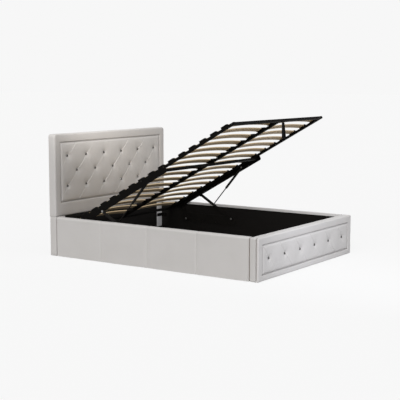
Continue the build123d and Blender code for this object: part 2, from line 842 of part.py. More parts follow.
def top_brackets(holes):
    """Long plates on the outer sides of the side tubes."""
    low = platform_underside - top_bracket_drop
    plate = box(top_bracket_inner, top_bracket_outer, platform_head - top_bracket_end,
                platform_head - top_bracket_start, low, platform_top)
    plate = fillet(plate.edges().filter_by(Axis.X), top_bracket_lug_radius)
    plate += rod_x(top_bracket_lug_radius, top_bracket_inner, top_bracket_outer, *front_closed)
    plate = drilled(plate, holes)
    save("platform_bracket_right", open_platform(plate))
    save("platform_bracket_left", open_platform(left_of(plate)))
    front_pin = pivot_pin(top_bracket_outer, link_outer + link_side_clearance, front_open, shoulder_inner)
    eye_face = strut_middle + strut_eye_width / 2 + link_side_clearance
    strut_pin = strut_pivot_pin(top_bracket_inner, eye_face, strut_open)
    pins = [front_pin, strut_pin]
    save("platform_pivot_pins", group(pins + [left_of(pin) for pin in pins]))


# Gas struts


def strut_pivot_pin(seat_x, eye_face, pivot):
    """Pin with a spacer up to the eye of a strut and a head behind it."""
    y, z = pivot
    far = strut_middle - strut_eye_width / 2 - link_side_clearance
    pin = rod_x(strut_spacer_radius, seat_x, eye_face, y, z)
    pin += rod_x(strut_pin_radius, seat_x, far, y, z)
    return pin + rod_x(strut_spacer_radius, far - pin_head_height, far, y, z)


def strut_axis():
    """Plane at the upper pivot of the right strut, with z towards the lower pivot."""
    dy = strut_foot_open[0] - strut_open[0]
    dz = strut_foot_open[1] - strut_open[1]
    origin = (strut_middle, strut_open[0], strut_open[1])
    return Plane(origin=origin, x_dir=(1, 0, 0), z_dir=(0, dy, dz))


def strut_eye(at, neck_to):
    """Eye at a distance along the strut, with the neck that joins it."""
    eye = Pos(0, 0, at) * Cylinder(strut_eye_radius, strut_eye_width, rotation=(0, 90, 0))
    neck = Pos(0, 0, (at + neck_to) / 2) * Cylinder(strut_neck_radius, abs(neck_to - at))
    bore = Pos(0, 0, at) * Cylinder(strut_pin_radius + running_clearance, strut_eye_width + overrun,
                                    rotation=(0, 90, 0))
    return eye, neck, bore


def between(radius, z0, z1):
    """Round bar along the strut."""
    return Pos(0, 0, (z0 + z1) / 2) * Cylinder(radius, z1 - z0)


def gas_struts():
    """Cylinders that hang from the top brackets, and rods that push on the front arms."""
    axis = strut_axis()
    bore_start = strut_neck_length + strut_plug_length
    guide_start = strut_cylinder_length - strut_guide_length
    inner_radius = strut_radius - strut_wall
    eye, neck, bore = strut_eye(0, strut_neck_length)
    cylinder = eye + neck - bore
    cylinder += between(strut_radius, strut_neck_length, strut_cylinder_length)
    cylinder -= between(inner_radius, bore_start, guide_start)
    cylinder -= between(strut_rod_radius + running_clearance, guide_start, strut_cylinder_length + overrun)
    rod_end = strut_length_open - strut_neck_length
    piston_end = guide_start - strut_piston_setback
    eye, neck, bore = strut_eye(strut_length_open, rod_end)
    rod = eye + neck - bore
    rod += between(strut_rod_radius, piston_end, rod_end)
    rod += between(inner_radius - running_clearance, piston_end - strut_piston_length, piston_end)
    cylinder = axis * cylinder
    rod = axis * rod
    save("strut_cylinder_right", cylinder)
    save("strut_cylinder_left", left_of(cylinder))
    save("strut_rod_right", rod)
    save("strut_rod_left", left_of(rod))
    eye_face = strut_middle + strut_eye_width / 2 + link_side_clearance
    pin = strut_pivot_pin(link_inner - seat_clearance, eye_face, strut_foot_open)
    save("strut_rod_pins", group([pin, left_of(pin)]))


# Pull strap under the foot tube


def pull_strap():
    """Webbing loop that hangs plumb from a wire staple, open."""
    hang = (platform_foot + end_cap_thickness + tube_width / 2,
            platform_underside - strap_width / 2 - seat_clearance)
    staple = rod_x(strap_staple_radius, strap_near_x - strap_staple_margin,
                   strap_far_x + strap_staple_margin, *hang)
    for x in (strap_near_x - strap_staple_margin, strap_far_x + strap_staple_margin):
        staple += rod_z(strap_staple_radius, hang[1], platform_underside, x, hang[0])
    save("strap_staple", open_platform(staple))
    y, z = opened(hang)
    low = z - strap_drop
    corners = [(strap_near_x, z), (strap_loop_near_x, low), (strap_loop_far_x, low), (strap_far_x, z)]
    path = FilletPolyline(*corners, radius=strap_loop_radius)
    ribbon = make_face(offset(path, amount=strap_thickness / 2, side=Side.BOTH))
    loop = extrude(Plane.XZ * ribbon, amount=strap_width / 2, both=True)
    loop = Pos(0, y, 0) * loop
    reach = strap_drop + strap_width
    side = strap_loop_far_x * 2
    outline = rod_x(strap_width / 2, -side, side, y, z)
    outline += box(-side, side, y - strap_width / 2, y + strap_width / 2, z - reach, z)
    loop = loop & outline
    loop -= rod_x(strap_staple_radius + running_clearance, -strap_far_x, strap_far_x * 2, y, z)
    save("pull_strap", loop)
    return y, z


def report_joints(strap_pivot):
    """Print the joint places, ranges and ratios that follow from the sizes."""
    lift = bearing(front_base, front_open) - bearing(front_base, front_closed)
    rear = bearing(rear_base, rear_open) - bearing(rear_base, rear_closed)
    strut_turn = bearing(strut_open, strut_foot_open) - bearing(strut_closed, strut_foot_closed)
    swing = (strut_turn + lift_tilt_deg + 180) % 360 - 180
    print("lift", [round(v, 3) for v in front_base], "closed", round(-lift, 4))
    print("platform_tilt", [round(v, 3) for v in front_open], "closed", round(lift_tilt_deg + lift, 4))
    print("rear_swing", [round(v, 3) for v in rear_base], "closed", round(-rear, 4))
    print("strut_swing", [round(v, 3) for v in strut_open], "closed", round(-swing, 4))
    print("strut_foot", [round(v, 3) for v in strut_foot_open], "stroke", round(strut_stroke, 4))
    print("strap_swing", [round(v, 3) for v in strap_pivot])


def main():
    """Write every node."""
    os.makedirs("parts", exist_ok=True)
    rail_holes, head_holes, foot_holes = corner_fixings()
    base_holes = base_bolts()
    headboard_pieces()
    headboard_legs(head_holes)
    footboard_pieces(foot_holes + [left_of(hole) for hole in foot_holes])
    side_rails(rail_holes + base_holes)
    storage_lining(rail_holes + base_holes, foot_holes)
    storage_floor()
    floor_glides()
    mechanism_base(base_holes)
    arms()
    bracket_holes = bracket_fixings()
    platform_frame(bracket_holes)
    slats_and_caps()
    top_brackets(bracket_holes)
    gas_struts()
    strap_pivot = pull_strap()
    report_joints(strap_pivot)


main()
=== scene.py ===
"""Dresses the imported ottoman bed: tufted faux leather, storage box, sprung slats and lift."""
import logging
import math
from collections.abc import Callable, Iterable
from dataclasses import dataclass
from enum import Enum
from functools import cache
from typing import Self

import bpy
import numpy as np
from mathutils import Matrix, Vector, noise


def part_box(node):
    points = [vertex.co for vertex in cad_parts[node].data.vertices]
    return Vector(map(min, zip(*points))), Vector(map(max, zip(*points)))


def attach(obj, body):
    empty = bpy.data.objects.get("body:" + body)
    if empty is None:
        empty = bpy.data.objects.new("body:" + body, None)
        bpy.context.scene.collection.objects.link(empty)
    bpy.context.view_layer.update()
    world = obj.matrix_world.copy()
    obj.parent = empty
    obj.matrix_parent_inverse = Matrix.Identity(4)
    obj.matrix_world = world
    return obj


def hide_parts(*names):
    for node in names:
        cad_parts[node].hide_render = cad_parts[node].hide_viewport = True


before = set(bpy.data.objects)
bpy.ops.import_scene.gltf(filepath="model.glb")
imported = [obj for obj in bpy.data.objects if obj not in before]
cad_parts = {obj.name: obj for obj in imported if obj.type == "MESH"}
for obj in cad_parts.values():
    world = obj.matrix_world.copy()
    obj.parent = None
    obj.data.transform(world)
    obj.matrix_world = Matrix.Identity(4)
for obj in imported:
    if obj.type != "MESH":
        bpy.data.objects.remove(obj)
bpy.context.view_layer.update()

LOG = logging.getLogger("ottoman_bed")
MM = 0.001
NEAR = 0.0004       # places closer than this count as one place
MERGED = 0.00002    # vertices closer than this become one
FACING = 0.9        # a direction with this share of an axis lies along it

Point = tuple[float, float, float]
Box = tuple[Vector, Vector]         # the lowest and the highest corner
NodeTree = bpy.types.NodeTree
Socket = bpy.types.NodeSocket
Test = Callable[[Vector, Vector], bool]
Rule = Callable[[np.ndarray, np.ndarray], np.ndarray]


def linear(hex_colour: str) -> tuple[float, float, float, float]:
    """Turn six sRGB hex digits to linear red, green, blue and alpha."""
    parts = [int(hex_colour[i:i + 2], 16) / 255 for i in (0, 2, 4)]
    light = [p / 12.92 if p <= 0.04045 else ((p + 0.055) / 1.055) ** 2.4 for p in parts]
    return (*light, 1.0)


def add_node(tree: NodeTree, kind: str, inputs: dict | None = None, **settings) -> bpy.types.Node:
    """Add a node with its settings, and its inputs as constants or links.

    Args:
        tree: The node tree.
        kind: What follows ShaderNode in its type.
        inputs: Values or output sockets by input name or index.
        settings: The node's own options.

    Returns:
        The new node.
    """
    node = tree.nodes.new("ShaderNode" + kind)
    for name, value in settings.items():
        setattr(node, name, value)
    for key, value in (inputs or {}).items():
        if isinstance(value, Socket):
            tree.links.new(value, node.inputs[key])
        else:
            node.inputs[key].default_value = value
    return node


# Finishes


def texture(tree: NodeTree, kind: str, cell_mm: float, inputs: dict | None = None,
            **settings) -> Socket:
    """Add a texture that follows the piece, with cells of a real size.

    Args:
        tree: The node tree.
        kind: What follows ShaderNodeTex in its type.
        cell_mm: How wide a cell is.
        inputs: Its other inputs.
        settings: The node's own options.

    Returns:
        The texture's pattern.
    """
    place = add_node(tree, "TexCoord").outputs["Object"]
    size = {"Vector": place, "Scale": 1 / (cell_mm * MM)}
    return add_node(tree, "Tex" + kind, size | (inputs or {}), **settings).outputs[0]


def blended(tree: NodeTree, pattern: Socket, first: str, second: str) -> Socket:
    """Mix two sRGB hex colours by a pattern."""
    return add_node(tree, "Mix", {
        0: pattern, 6: linear(first), 7: linear(second)}, data_type="RGBA").outputs[2]


def ranged(tree: NodeTree, pattern: Socket, low: float, high: float) -> Socket:
    """Spread a pattern between two numbers."""
    return add_node(tree, "MapRange", {
        "Value": pattern, "To Min": low, "To Max": high}).outputs["Result"]


def raised(tree: NodeTree, pattern: Socket, strength: float, depth: float,
           over: Socket | None = None) -> Socket:
    """Bump a surface by a pattern, on top of an earlier bump if there is one."""
    under = {} if over is None else {"Normal": over}
    return add_node(tree, "Bump", {
        "Strength": strength, "Distance": depth, "Height": pattern} | under).outputs["Normal"]


def surfaced(tree: NodeTree, inputs: dict) -> None:
    """End a tree in one plain surface."""
    surface = add_node(tree, "BsdfPrincipled", inputs)
    add_node(tree, "OutputMaterial", {"Surface": surface.outputs[0]})


@dataclass(frozen=True)
class Finish:
    """A surface of the bed, named for its real material and process."""

    title: str
    slot: str

    def wire(self, tree: NodeTree) -> None:
        """Build the finish's nodes in an empty tree."""
        raise NotImplementedError


@cache
def material_of(finish: Finish) -> bpy.types.Material:
    """Make a finish's material, once for all its pieces."""
    material = bpy.data.materials.new(finish.title)
    material.use_nodes = True
    material.node_tree.nodes.clear()
    finish.wire(material.node_tree)
    return material


@dataclass(frozen=True)
class EmbossedFauxLeather(Finish):
    """Polyurethane on a knitted backing, rolled with a pebble grain: soft satin gloss."""

    tone: str = "D2CFCD"
    shade: str = "C9C6C3"
    grain_mm: float = 3.2      # the real grain is near 1 mm and would not show
    crease_mm: float = 28.8
    cloud_mm: float = 190.0
    roughness: float = 0.46

    def wire(self, tree: NodeTree) -> None:
        """Pebbled bump, clouded tone and uneven gloss."""
        pebbles = texture(tree, "Voronoi", self.grain_mm, feature="SMOOTH_F1")
        creases = texture(tree, "Noise", self.crease_mm, {"Detail": 5.0})
        clouds = texture(tree, "Noise", self.cloud_mm, {"Detail": 2.0})
        fold = raised(tree, creases, strength=0.35, depth=0.0016)
        surfaced(tree, {
            "Base Color": blended(tree, clouds, self.tone, self.shade),
            "Roughness": ranged(tree, creases, self.roughness - 0.07, self.roughness + 0.09),
            "IOR": 1.48, "Sheen Weight": 0.12, "Sheen Roughness": 0.5,
            "Normal": raised(tree, pebbles, 0.3, 0.0005, fold)})


@dataclass(frozen=True)
class NonWovenCloth(Finish):
    """Spunbonded polypropylene, point bonded by a hot roller: matt, with rows of small pits."""

    tone: str = "0D0B09"
    shade: str = "14110E"
    pit_mm: float = 6.0        # real bonds are 1.5 mm apart and would not show
    fibre_mm: float = 2.0

    def wire(self, tree: NodeTree) -> None:
        """Rows of bonded pits over loose fibres."""
        pits = texture(tree, "Voronoi", self.pit_mm, {"Randomness": 0.15})
        fibres = texture(tree, "Noise", self.fibre_mm, {"Detail": 6.0, "Distortion": 1.5})
        web = raised(tree, fibres, strength=0.4, depth=0.0004)
        surfaced(tree, {
            "Base Color": blended(tree, fibres, self.tone, self.shade), "Roughness": 0.95,
            "IOR": 1.49, "Specular IOR Level": 0.2,
            "Normal": raised(tree, pits, 0.5, 0.0006, web)})


@dataclass(frozen=True)
class WovenWebbing(Finish):
    """Narrow woven nylon: dense ribs across the band and a faint sheen."""

    tone: str = "080706"
    shade: str = "12100E"
    rib_mm: float = 3.0        # the real weft is near 1.2 mm
    length_mm: float = 280.0

    def wire(self, tree: NodeTree) -> None:
        """Ribs across the band, from the piece's own UV map."""
        ribs = add_node(tree, "TexWave", {
            "Vector": add_node(tree, "TexCoord").outputs["UV"],
            "Scale": self.length_mm / self.rib_mm / math.tau,
            "Distortion": 0.6, "Detail": 1.0}, bands_direction="X").outputs["Fac"]
        surfaced(tree, {
            "Base Color": blended(tree, ribs, self.tone, self.shade), "Roughness": 0.75,
            "IOR": 1.53, "Specular IOR Level": 0.15, "Sheen Weight": 0.05,
            "Normal": raised(tree, ribs, strength=0.6, depth=0.0006)})


@dataclass(frozen=True)
class SawnTimber(Finish):
    """Peeled or sawn wood whose grain runs along one axis, lacquered, stained or bare."""

    light: str = "E2CBA6"
    dark: str = "C5A97D"
    grain_length_mm: float = 420.0
    grain_width_mm: float = 7.0
    roughness: float = 0.56
    along: int = 0

    def wire(self, tree: NodeTree) -> None:
        """Long streaks, fine pores and a low sheen."""
        scale = [1 / (self.grain_width_mm * MM)] * 3
        scale[self.along] = 1 / (self.grain_length_mm * MM)
        stretched = add_node(tree, "Mapping", {
            "Vector": add_node(tree, "TexCoord").outputs["Object"], "Scale": scale})
        streaks = add_node(tree, "TexNoise", {
            "Vector": stretched.outputs["Vector"], "Scale": 1.0, "Detail": 6.0,
            "Roughness": 0.62, "Distortion": 0.25}).outputs["Fac"]
        ramp = add_node(tree, "MapRange", {
            "Value": streaks, "From Min": 0.3, "From Max": 0.7}).outputs["Result"]
        surfaced(tree, {
            "Base Color": blended(tree, ramp, self.light, self.dark), "IOR": 1.5,
            "Roughness": ranged(tree, streaks, self.roughness - 0.08, self.roughness + 0.1),
            "Normal": raised(tree, streaks, strength=0.25, depth=0.0003)})


@dataclass(frozen=True)
class CoatedSurface(Finish):
    """Powder coat, paint, foil or moulded plastic: one body colour and a fine skin."""

    tone: str = "060504"
    shade: str = "0B0907"
    skin_mm: float = 3.0
    rub_share: float = 40.0
    skin_depth_mm: float = 0.12
    roughness: float = 0.6
    ior: float = 1.5
    specular: float = 0.05

    def wire(self, tree: NodeTree) -> None:
        """Orange peel or spark texture, with rubbed patches of other gloss."""
        skin = texture(tree, "Noise", self.skin_mm, {"Detail": 3.0})
        rub = texture(tree, "Noise", self.rub_share * self.skin_mm, {"Detail": 4.0})
        surfaced(tree, {
            "Base Color": blended(tree, rub, self.tone, self.shade), "IOR": self.ior,
            "Roughness": ranged(tree, rub, self.roughness - 0.08, self.roughness + 0.12),
            "Specular IOR Level": self.specular,
            "Normal": raised(tree, skin, strength=0.4, depth=self.skin_depth_mm * MM)})


@dataclass(frozen=True)
class PlatedSteel(Finish):
    """Turned steel, plated or nitrided: metal with fine turning marks."""

    tone: str = "8C8B88"
    roughness: float = 0.46
    mark_mm: float = 2.0

    def wire(self, tree: NodeTree) -> None:
        """Brightness from the metal, unevenness from handling."""
        marks = texture(tree, "Noise", self.mark_mm, {"Detail": 4.0})
        surfaced(tree, {
            "Base Color": linear(self.tone), "Metallic": 1.0,
            "Roughness": ranged(tree, marks, self.roughness - 0.08, self.roughness + 0.12),
            "Normal": raised(tree, marks, strength=0.2, depth=0.0001)})


@dataclass(frozen=True)
class CutAcrylic(Finish):
    """Acrylic cut in facets: near black from a painted dark reflection, with sharp glints."""

    # both colours are a painted dark reflection, far darker than the clear acrylic itself
    tone: str = "55514D"
    painted_reflection_dark: str = "2B2826"
    facet_mm: float = 6.0

    def wire(self, tree: NodeTree) -> None:
        """Facets differ a little in the depth of their painted dark reflection."""
        facets = texture(tree, "Voronoi", self.facet_mm)
        surfaced(tree, {
            "Base Color": blended(tree, facets, self.painted_reflection_dark, self.tone), "Roughness": 0.09,
            "IOR": 1.49, "Coat Weight": 0.6, "Coat Roughness": 0.03})


LEATHER = EmbossedFauxLeather("pebbled_faux_leather", "upholstery")
# the welt is the upholstery leather, painted darker as the shade in its groove
WELT_IN_PAINTED_SHADE = EmbossedFauxLeather("faux_leather_welt_painted_shade", "piping", tone="C6C3C0", shade="BBB8B5")
BACKING = NonWovenCloth("spunbond_back_cloth", "back_cloth", tone="24211E", shade="302C28")
LINING = NonWovenCloth("spunbond_box_lining", "black_lining")
STRAP = WovenWebbing("woven_nylon_webbing", "strap_webbing")
BEECH = SawnTimber("peeled_beech_veneer", "sprung_beech")
PINE = SawnTimber("sawn_pine_board", "timber", light="D9C29A", dark="B8976A",
                  grain_width_mm=14.0, roughness=0.7)
STAINED_PINE = SawnTimber("black_stained_pine", "black_timber", light="16120F", dark="0D0B09",
                          grain_width_mm=12.0, roughness=0.75, along=1)
FOIL_BOARD = CoatedSurface("black_foiled_fibreboard", "black_board", tone="0D0B08",
                           shade="13100D", skin_mm=5.0, roughness=0.7, specular=0.25)
POWDER = CoatedSurface("black_powder_coated_steel", "black_steel")
PLATE = CoatedSurface("black_electrocoated_steel", "black_steel", tone="0E0C0A",
                      shade="13110E", roughness=0.62, specular=0.12)
CAP = CoatedSurface("moulded_black_polypropylene", "cap_plastic", skin_mm=2.5, roughness=0.65,
                    ior=1.49)
GLIDE = CoatedSurface("moulded_black_polyethylene", "glide_plastic", tone="1A1815",
                      shade="22201D", skin_mm=2.5, ior=1.51, specular=0.5)
STRUT_PAINT = CoatedSurface("black_sprayed_strut_tube", "strut_black", tone="080706",
                            shade="0E0C0A", skin_mm=6.0, skin_depth_mm=0.05, roughness=0.38,
                            specular=0.15)
BOLT = PlatedSteel("black_zinc_plated_bolt", "bolt_steel", tone="2E2C2A", roughness=0.45)
PIN = PlatedSteel("dulled_zinc_plated_pin", "pin_steel")
ROD = PlatedSteel("black_nitrided_rod", "strut_rod_chrome", tone="211F1E", roughness=0.36,
                  mark_mm=4.0)
# the buttons' dark colour is a painted dark reflection
CRYSTAL = CutAcrylic("cut_acrylic_painted_dark_reflection", "crystal_button")


def sides(*names: str) -> tuple[str, ...]:
    """Return the left and the right node of each name."""
    return tuple(f"{name}_{side}" for name in names for side in ("left", "right"))


NODE_FINISHES = {
    POWDER: ("foot_corner_brackets", "head_corner_brackets", "platform_centre_tube",
             "platform_crossbar", "platform_foot_tube", "platform_head_tube", "strap_staple",
             *sides("platform_bracket", "platform_side_tube")),
    PLATE: sides("front_arm", "rear_arm", "mechanism_base"),
    CAP: ("slat_caps_centre", "platform_end_caps", *sides("slat_caps")),
    BEECH: sides("slats"),
    BOLT: ("frame_bolts", "mechanism_base_bolts", "platform_bracket_bolts"),
    PIN: ("base_pivot_pins", "platform_pivot_pins", "rear_arm_pins", "strut_rod_pins"),
    STRUT_PAINT: sides("strut_cylinder"),
    ROD: sides("strut_rod"),
    FOIL_BOARD: ("floor_panel_foot", "floor_panel_middle", "floor_panel_head",
                 "head_end_panel"),
    STAINED_PINE: ("floor_battens", "floor_centre_beam"),
    PINE: ("headboard_core", "footboard_core", *sides("side_rail_board")),
    GLIDE: ("floor_glides",),
}


# Modelling


class Pick(Enum):
    """What a choice is made among."""

    VERTICES = (True, False, False)
    EDGES = (False, True, False)
    FACES = (False, False, True)


class Axis(Enum):
    """A direction to slice across."""

    X = (1.0, 0.0, 0.0)
    Y = (0.0, 1.0, 0.0)
    Z = (0.0, 0.0, 1.0)


def at(place: float, *others: float) -> bool:
    """Say whether a place is the same as one of some others."""
    return any(abs(place - other) < NEAR for other in others)


def within(place: Vector, box: Box, margin: float = 0.0) -> bool:
    """Say whether a place lies in the outline of a box, seen along the bed."""
    low, high = box
    return (low.x - margin < place.x < high.x + margin
            and low.z - margin < place.z < high.z + margin)


def extrude(way: Point) -> None:
    """Extrude what is chosen in edit mode and move it."""
    bpy.ops.mesh.extrude_region_move(TRANSFORM_OT_translate={"value": way})


def spread(unit: np.ndarray, low: float, high: float) -> np.ndarray:
    """Stretch places round 0 on a net 1 m long to a span."""
    return unit * (high - low) + (low + high) / 2


class Workpiece:
    """A mesh shaped in edit mode, with its faces and edges chosen by place.

    Every shaping step returns the workpiece, so that steps can follow on one another.
    """

    def __init__(self, obj: bpy.types.Object) -> None:
        """Take an object in hand."""
        self.obj = obj

    @classmethod
    def start(cls, name: str, primitive: Callable, **settings) -> Self:
        """Start from a primitive, and put its place in its mesh.

        Args:
            name: The piece's name.
            primitive: The operator that adds it.
            settings: The operator's options.
        """
        bpy.ops.object.select_all(action="DESELECT")
        primitive(**settings)
        bpy.ops.object.transform_apply(location=True, rotation=True, scale=True)
        return cls(bpy.context.active_object).named(name)

    @classmethod
    def block(cls, name: str, low: Point, high: Point) -> Self:
        """Start from a block between two corners."""
        return cls.start(name, bpy.ops.mesh.primitive_cube_add, size=1,
                         location=[(a + b) / 2 for a, b in zip(low, high)],
                         scale=[b - a for a, b in zip(low, high)])

    @classmethod
    def net(cls, name: str, columns: int, rows: int) -> Self:
        """Start from a flat net of faces, 1 m wide and long."""
        return cls.start(name, bpy.ops.mesh.primitive_grid_add, size=1,
                         x_subdivisions=columns, y_subdivisions=rows)

    def named(self, name: str) -> Self:
        """Name the object and its mesh."""
        self.obj.name = self.obj.data.name = name
        return self

    @property
    def points(self) -> np.ndarray:
        """Return the places of the vertices."""
        places = np.empty(len(self.obj.data.vertices) * 3, np.float32)
        self.obj.data.vertices.foreach_get("co", places)
        return places.reshape(-1, 3).astype(float)

    @points.setter
    def points(self, places: np.ndarray) -> None:
        """Put the vertices in new places."""
        self.obj.data.vertices.foreach_set("co", places.astype(np.float32).ravel())
        self.obj.data.update()

    def lay(self, *columns: np.ndarray | float) -> Self:
        """Put the vertices where three columns of X, Y and Z say."""
        self.points = np.stack(np.broadcast_arrays(*columns), axis=1)
        return self

    def hold(self) -> None:
        """Make this piece the only selected one."""
        bpy.ops.object.select_all(action="DESELECT")
        self.obj.select_set(True)
        bpy.context.view_layer.objects.active = self.obj

    def choose(self, kind: Pick, test: Test) -> Self:
        """Select the parts whose middle and direction pass a test.

        Args:
            kind: Vertices, edges or faces.
            test: Says yes or no to a middle and a normal, or an edge's direction.
        """
        bpy.context.tool_settings.mesh_select_mode = kind.value
        mesh = self.obj.data
        for parts in (mesh.vertices, mesh.edges, mesh.polygons):
            parts.foreach_set("select", [False] * len(parts))
        if kind is Pick.FACES:
            for face in mesh.polygons:
                face.select = test(face.center, face.normal)
        elif kind is Pick.VERTICES:
            for vertex in mesh.vertices:
                vertex.select = test(vertex.co, vertex.normal)
        else:
            for edge in mesh.edges:
                a, b = (mesh.vertices[i].co for i in edge.vertices)
                edge.select = test((a + b) / 2, (b - a).normalized())
        return self

    def edit(self, *steps: Callable[[], object]) -> Self:
        """Run steps in edit mode, each a call that acts on what is chosen."""
        self.hold()
        bpy.ops.object.mode_set(mode="EDIT")
        for step in steps:
            step()
        bpy.ops.object.mode_set(mode="OBJECT")
        return self

    def round_edges(self, radius: float, segments: int, test: Test) -> Self:
        """Round the edges that pass a test.

        Args:
            radius: The rounding's width.
            segments: Steps in the rounding.
            test: Says yes or no to an edge's middle and direction.
        """
        self.choose(Pick.EDGES, test)
        return self.edit(lambda: bpy.ops.mesh.bevel(
            offset=radius, segments=segments, affect="EDGES", clamp_overlap=True))

    def push(self, way: Point, test: Test) -> Self:
        """Extrude the faces that pass a test.

        Args:
            way: How far they go.
            test: Says yes or no to a face's middle and normal.
        """
        return self.choose(Pick.FACES, test).edit(lambda: extrude(way))

    def slice_across(self, normal: Vector, points: Iterable[Vector]) -> Self:
        """Cut new edges round the piece where planes cross it.

        Args:
            normal: The planes' direction.
            points: A point of each plane.
        """
        def cut() -> None:
            """Cut at each plane in turn."""
            for point in points:
                bpy.ops.mesh.select_all(action="SELECT")
                bpy.ops.mesh.bisect(plane_co=point, plane_no=normal)

        return self.edit(cut)

    def slice_at(self, axis: Axis, places: Iterable[float]) -> Self:
        """Cut new edges round the piece at places along an axis."""
        way = Vector(axis.value)
        return self.slice_across(way, [way * place for place in places])

    def slice_evenly(self, box: Box, steps: dict[Axis, float]) -> Self:
        """Cut new edges round the piece, evenly spaced inside a box.

        Args:
            box: The box.
            steps: The longest step along each axis.
        """
        for axis, longest in steps.items():
            start, end = (corner.dot(axis.value) for corner in box)
            count = math.ceil((end - start) / longest)
            self.slice_at(axis, [start + (end - start) * i / count for i in range(1, count)])
        return self

    def modify(self, kind: str, **settings) -> Self:
        """Add a modifier and apply it.

        Args:
            kind: The modifier's type.
            settings: Its options.
        """
        self.hold()
        modifier = self.obj.modifiers.new(kind.lower(), kind)
        for name, value in settings.items():
            setattr(modifier, name, value)
        bpy.ops.object.modifier_apply(modifier=modifier.name)
        return self

    def reshape(self, rule: Rule) -> Self:
        """Move every vertex by a rule that gives new places from places and normals."""
        normals = np.array([v.normal for v in self.obj.data.vertices])
        self.points = rule(self.points, normals)
        return self

    def ripple(self, height: float, length: float, seed: float = 0.0) -> Self:
        """Give a taut skin its slight unevenness.

        Args:
            height: The most that it rises or falls.
            length: The distance from swell to swell.
            seed: Shifts the pattern.
        """
        def uneven(places: np.ndarray, normals: np.ndarray) -> np.ndarray:
            """Raise each point along its normal."""
            lift = [noise.noise(Vector(p) / length + Vector((seed, 0, 0))) for p in places]
            return places + normals * np.array(lift)[:, None] * height

        return self.reshape(uneven)

    def smooth(self, angle_deg: float) -> Self:
        """Shade the piece smooth, apart from its edges sharper than an angle."""
        self.hold()
        bpy.ops.object.shade_smooth_by_angle(angle=math.radians(angle_deg))
        return self

    def outward(self) -> Self:
        """Merge doubled points and point every face outwards."""
        return self.edit(lambda: bpy.ops.mesh.select_all(action="SELECT"),
                         lambda: bpy.ops.mesh.remove_doubles(threshold=MERGED),
                         lambda: bpy.ops.mesh.normals_make_consistent(inside=False))

    def copied(self, change: Matrix) -> Self:
        """Copy the piece, with a change to the copy's mesh."""
        copy = self.obj.copy()
        copy.data = self.obj.data.copy()
        copy.data.transform(change)
        bpy.context.scene.collection.objects.link(copy)
        return Workpiece(copy)

    def mirrored(self, name: str) -> Self:
        """Copy the piece to the other side of the bed."""
        other = self.copied(Matrix.Scale(-1, 4, (1, 0, 0))).named(name)
        other.obj.data.flip_normals()
        return other

    def finish(self, finish: Finish, body: str, *nodes: str) -> bpy.types.Object:
        """Dress the piece, hang it on a body and let it stand for CAD nodes.

        Args:
            finish: Its finish.
            body: The body that it rides on.
            nodes: The nodes that it replaces.

        Returns:
            The object.
        """
        self.obj.data.materials.clear()
        self.obj.data.materials.append(material_of(finish))
        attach(self.obj, body)
        if nodes:
            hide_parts(*nodes)
        LOG.info("%s: %d faces, rides on %s", self.obj.name, len(self.obj.data.polygons), body)
        return self.obj


SWELLING_CLOTH = {"quality": 6, "mass": 0.4, "tension_stiffness": 12,
                  "compression_stiffness": 12, "bending_stiffness": 1.5,
                  "use_pressure": True, "uniform_pressure_force": 4.0}
SWELLING_FRAMES = 20


def swell(piece: Workpiece, pinned: np.ndarray, cap: float) -> None:
    """Let a closed pad swell under pressure, as leather over wadding does.

    Args:
        piece: The pad, closed.
        pinned: Which of its vertices stay where they are.
        cap: The furthest that a vertex may move.
    """
    start = piece.points
    group = piece.obj.vertex_groups.new(name="pinned")
    group.add(np.flatnonzero(pinned).tolist(), 1.0, "REPLACE")
    cloth = piece.obj.modifiers.new("cloth", "CLOTH")
    for name, value in SWELLING_CLOTH.items():
        setattr(cloth.settings, name, value)
    cloth.settings.vertex_group_mass = group.name
    cloth.settings.effector_weights.gravity = 0
    cloth.point_cache.frame_start = 1
    cloth.point_cache.frame_end = SWELLING_FRAMES
    for number in range(1, SWELLING_FRAMES + 1):
        bpy.context.scene.frame_set(number)
    piece.hold()
    bpy.ops.object.modifier_apply(modifier=cloth.name)
    bpy.context.scene.frame_set(1)
    piece.obj.vertex_groups.clear()
    moved = piece.points - start
    length = np.linalg.norm(moved, axis=1, keepdims=True)
    piece.points = start + moved * np.minimum(1.0, cap / np.maximum(length, NEAR))
    LOG.info("%s swelled by up to %.1f mm", piece.obj.name, float(length.max()) / MM)


# Upholstery


def bell(away: np.ndarray, width: float) -> np.ndarray:
    """Return 1 where a distance is nothing, falling smoothly to 0 beyond a width."""
    return np.exp(-(away / width) ** 2)


class Fold(Enum):
    """The diagonal along which the leather is folded sharply, seen from the foot end."""

    RISING = 1
    FALLING = -1


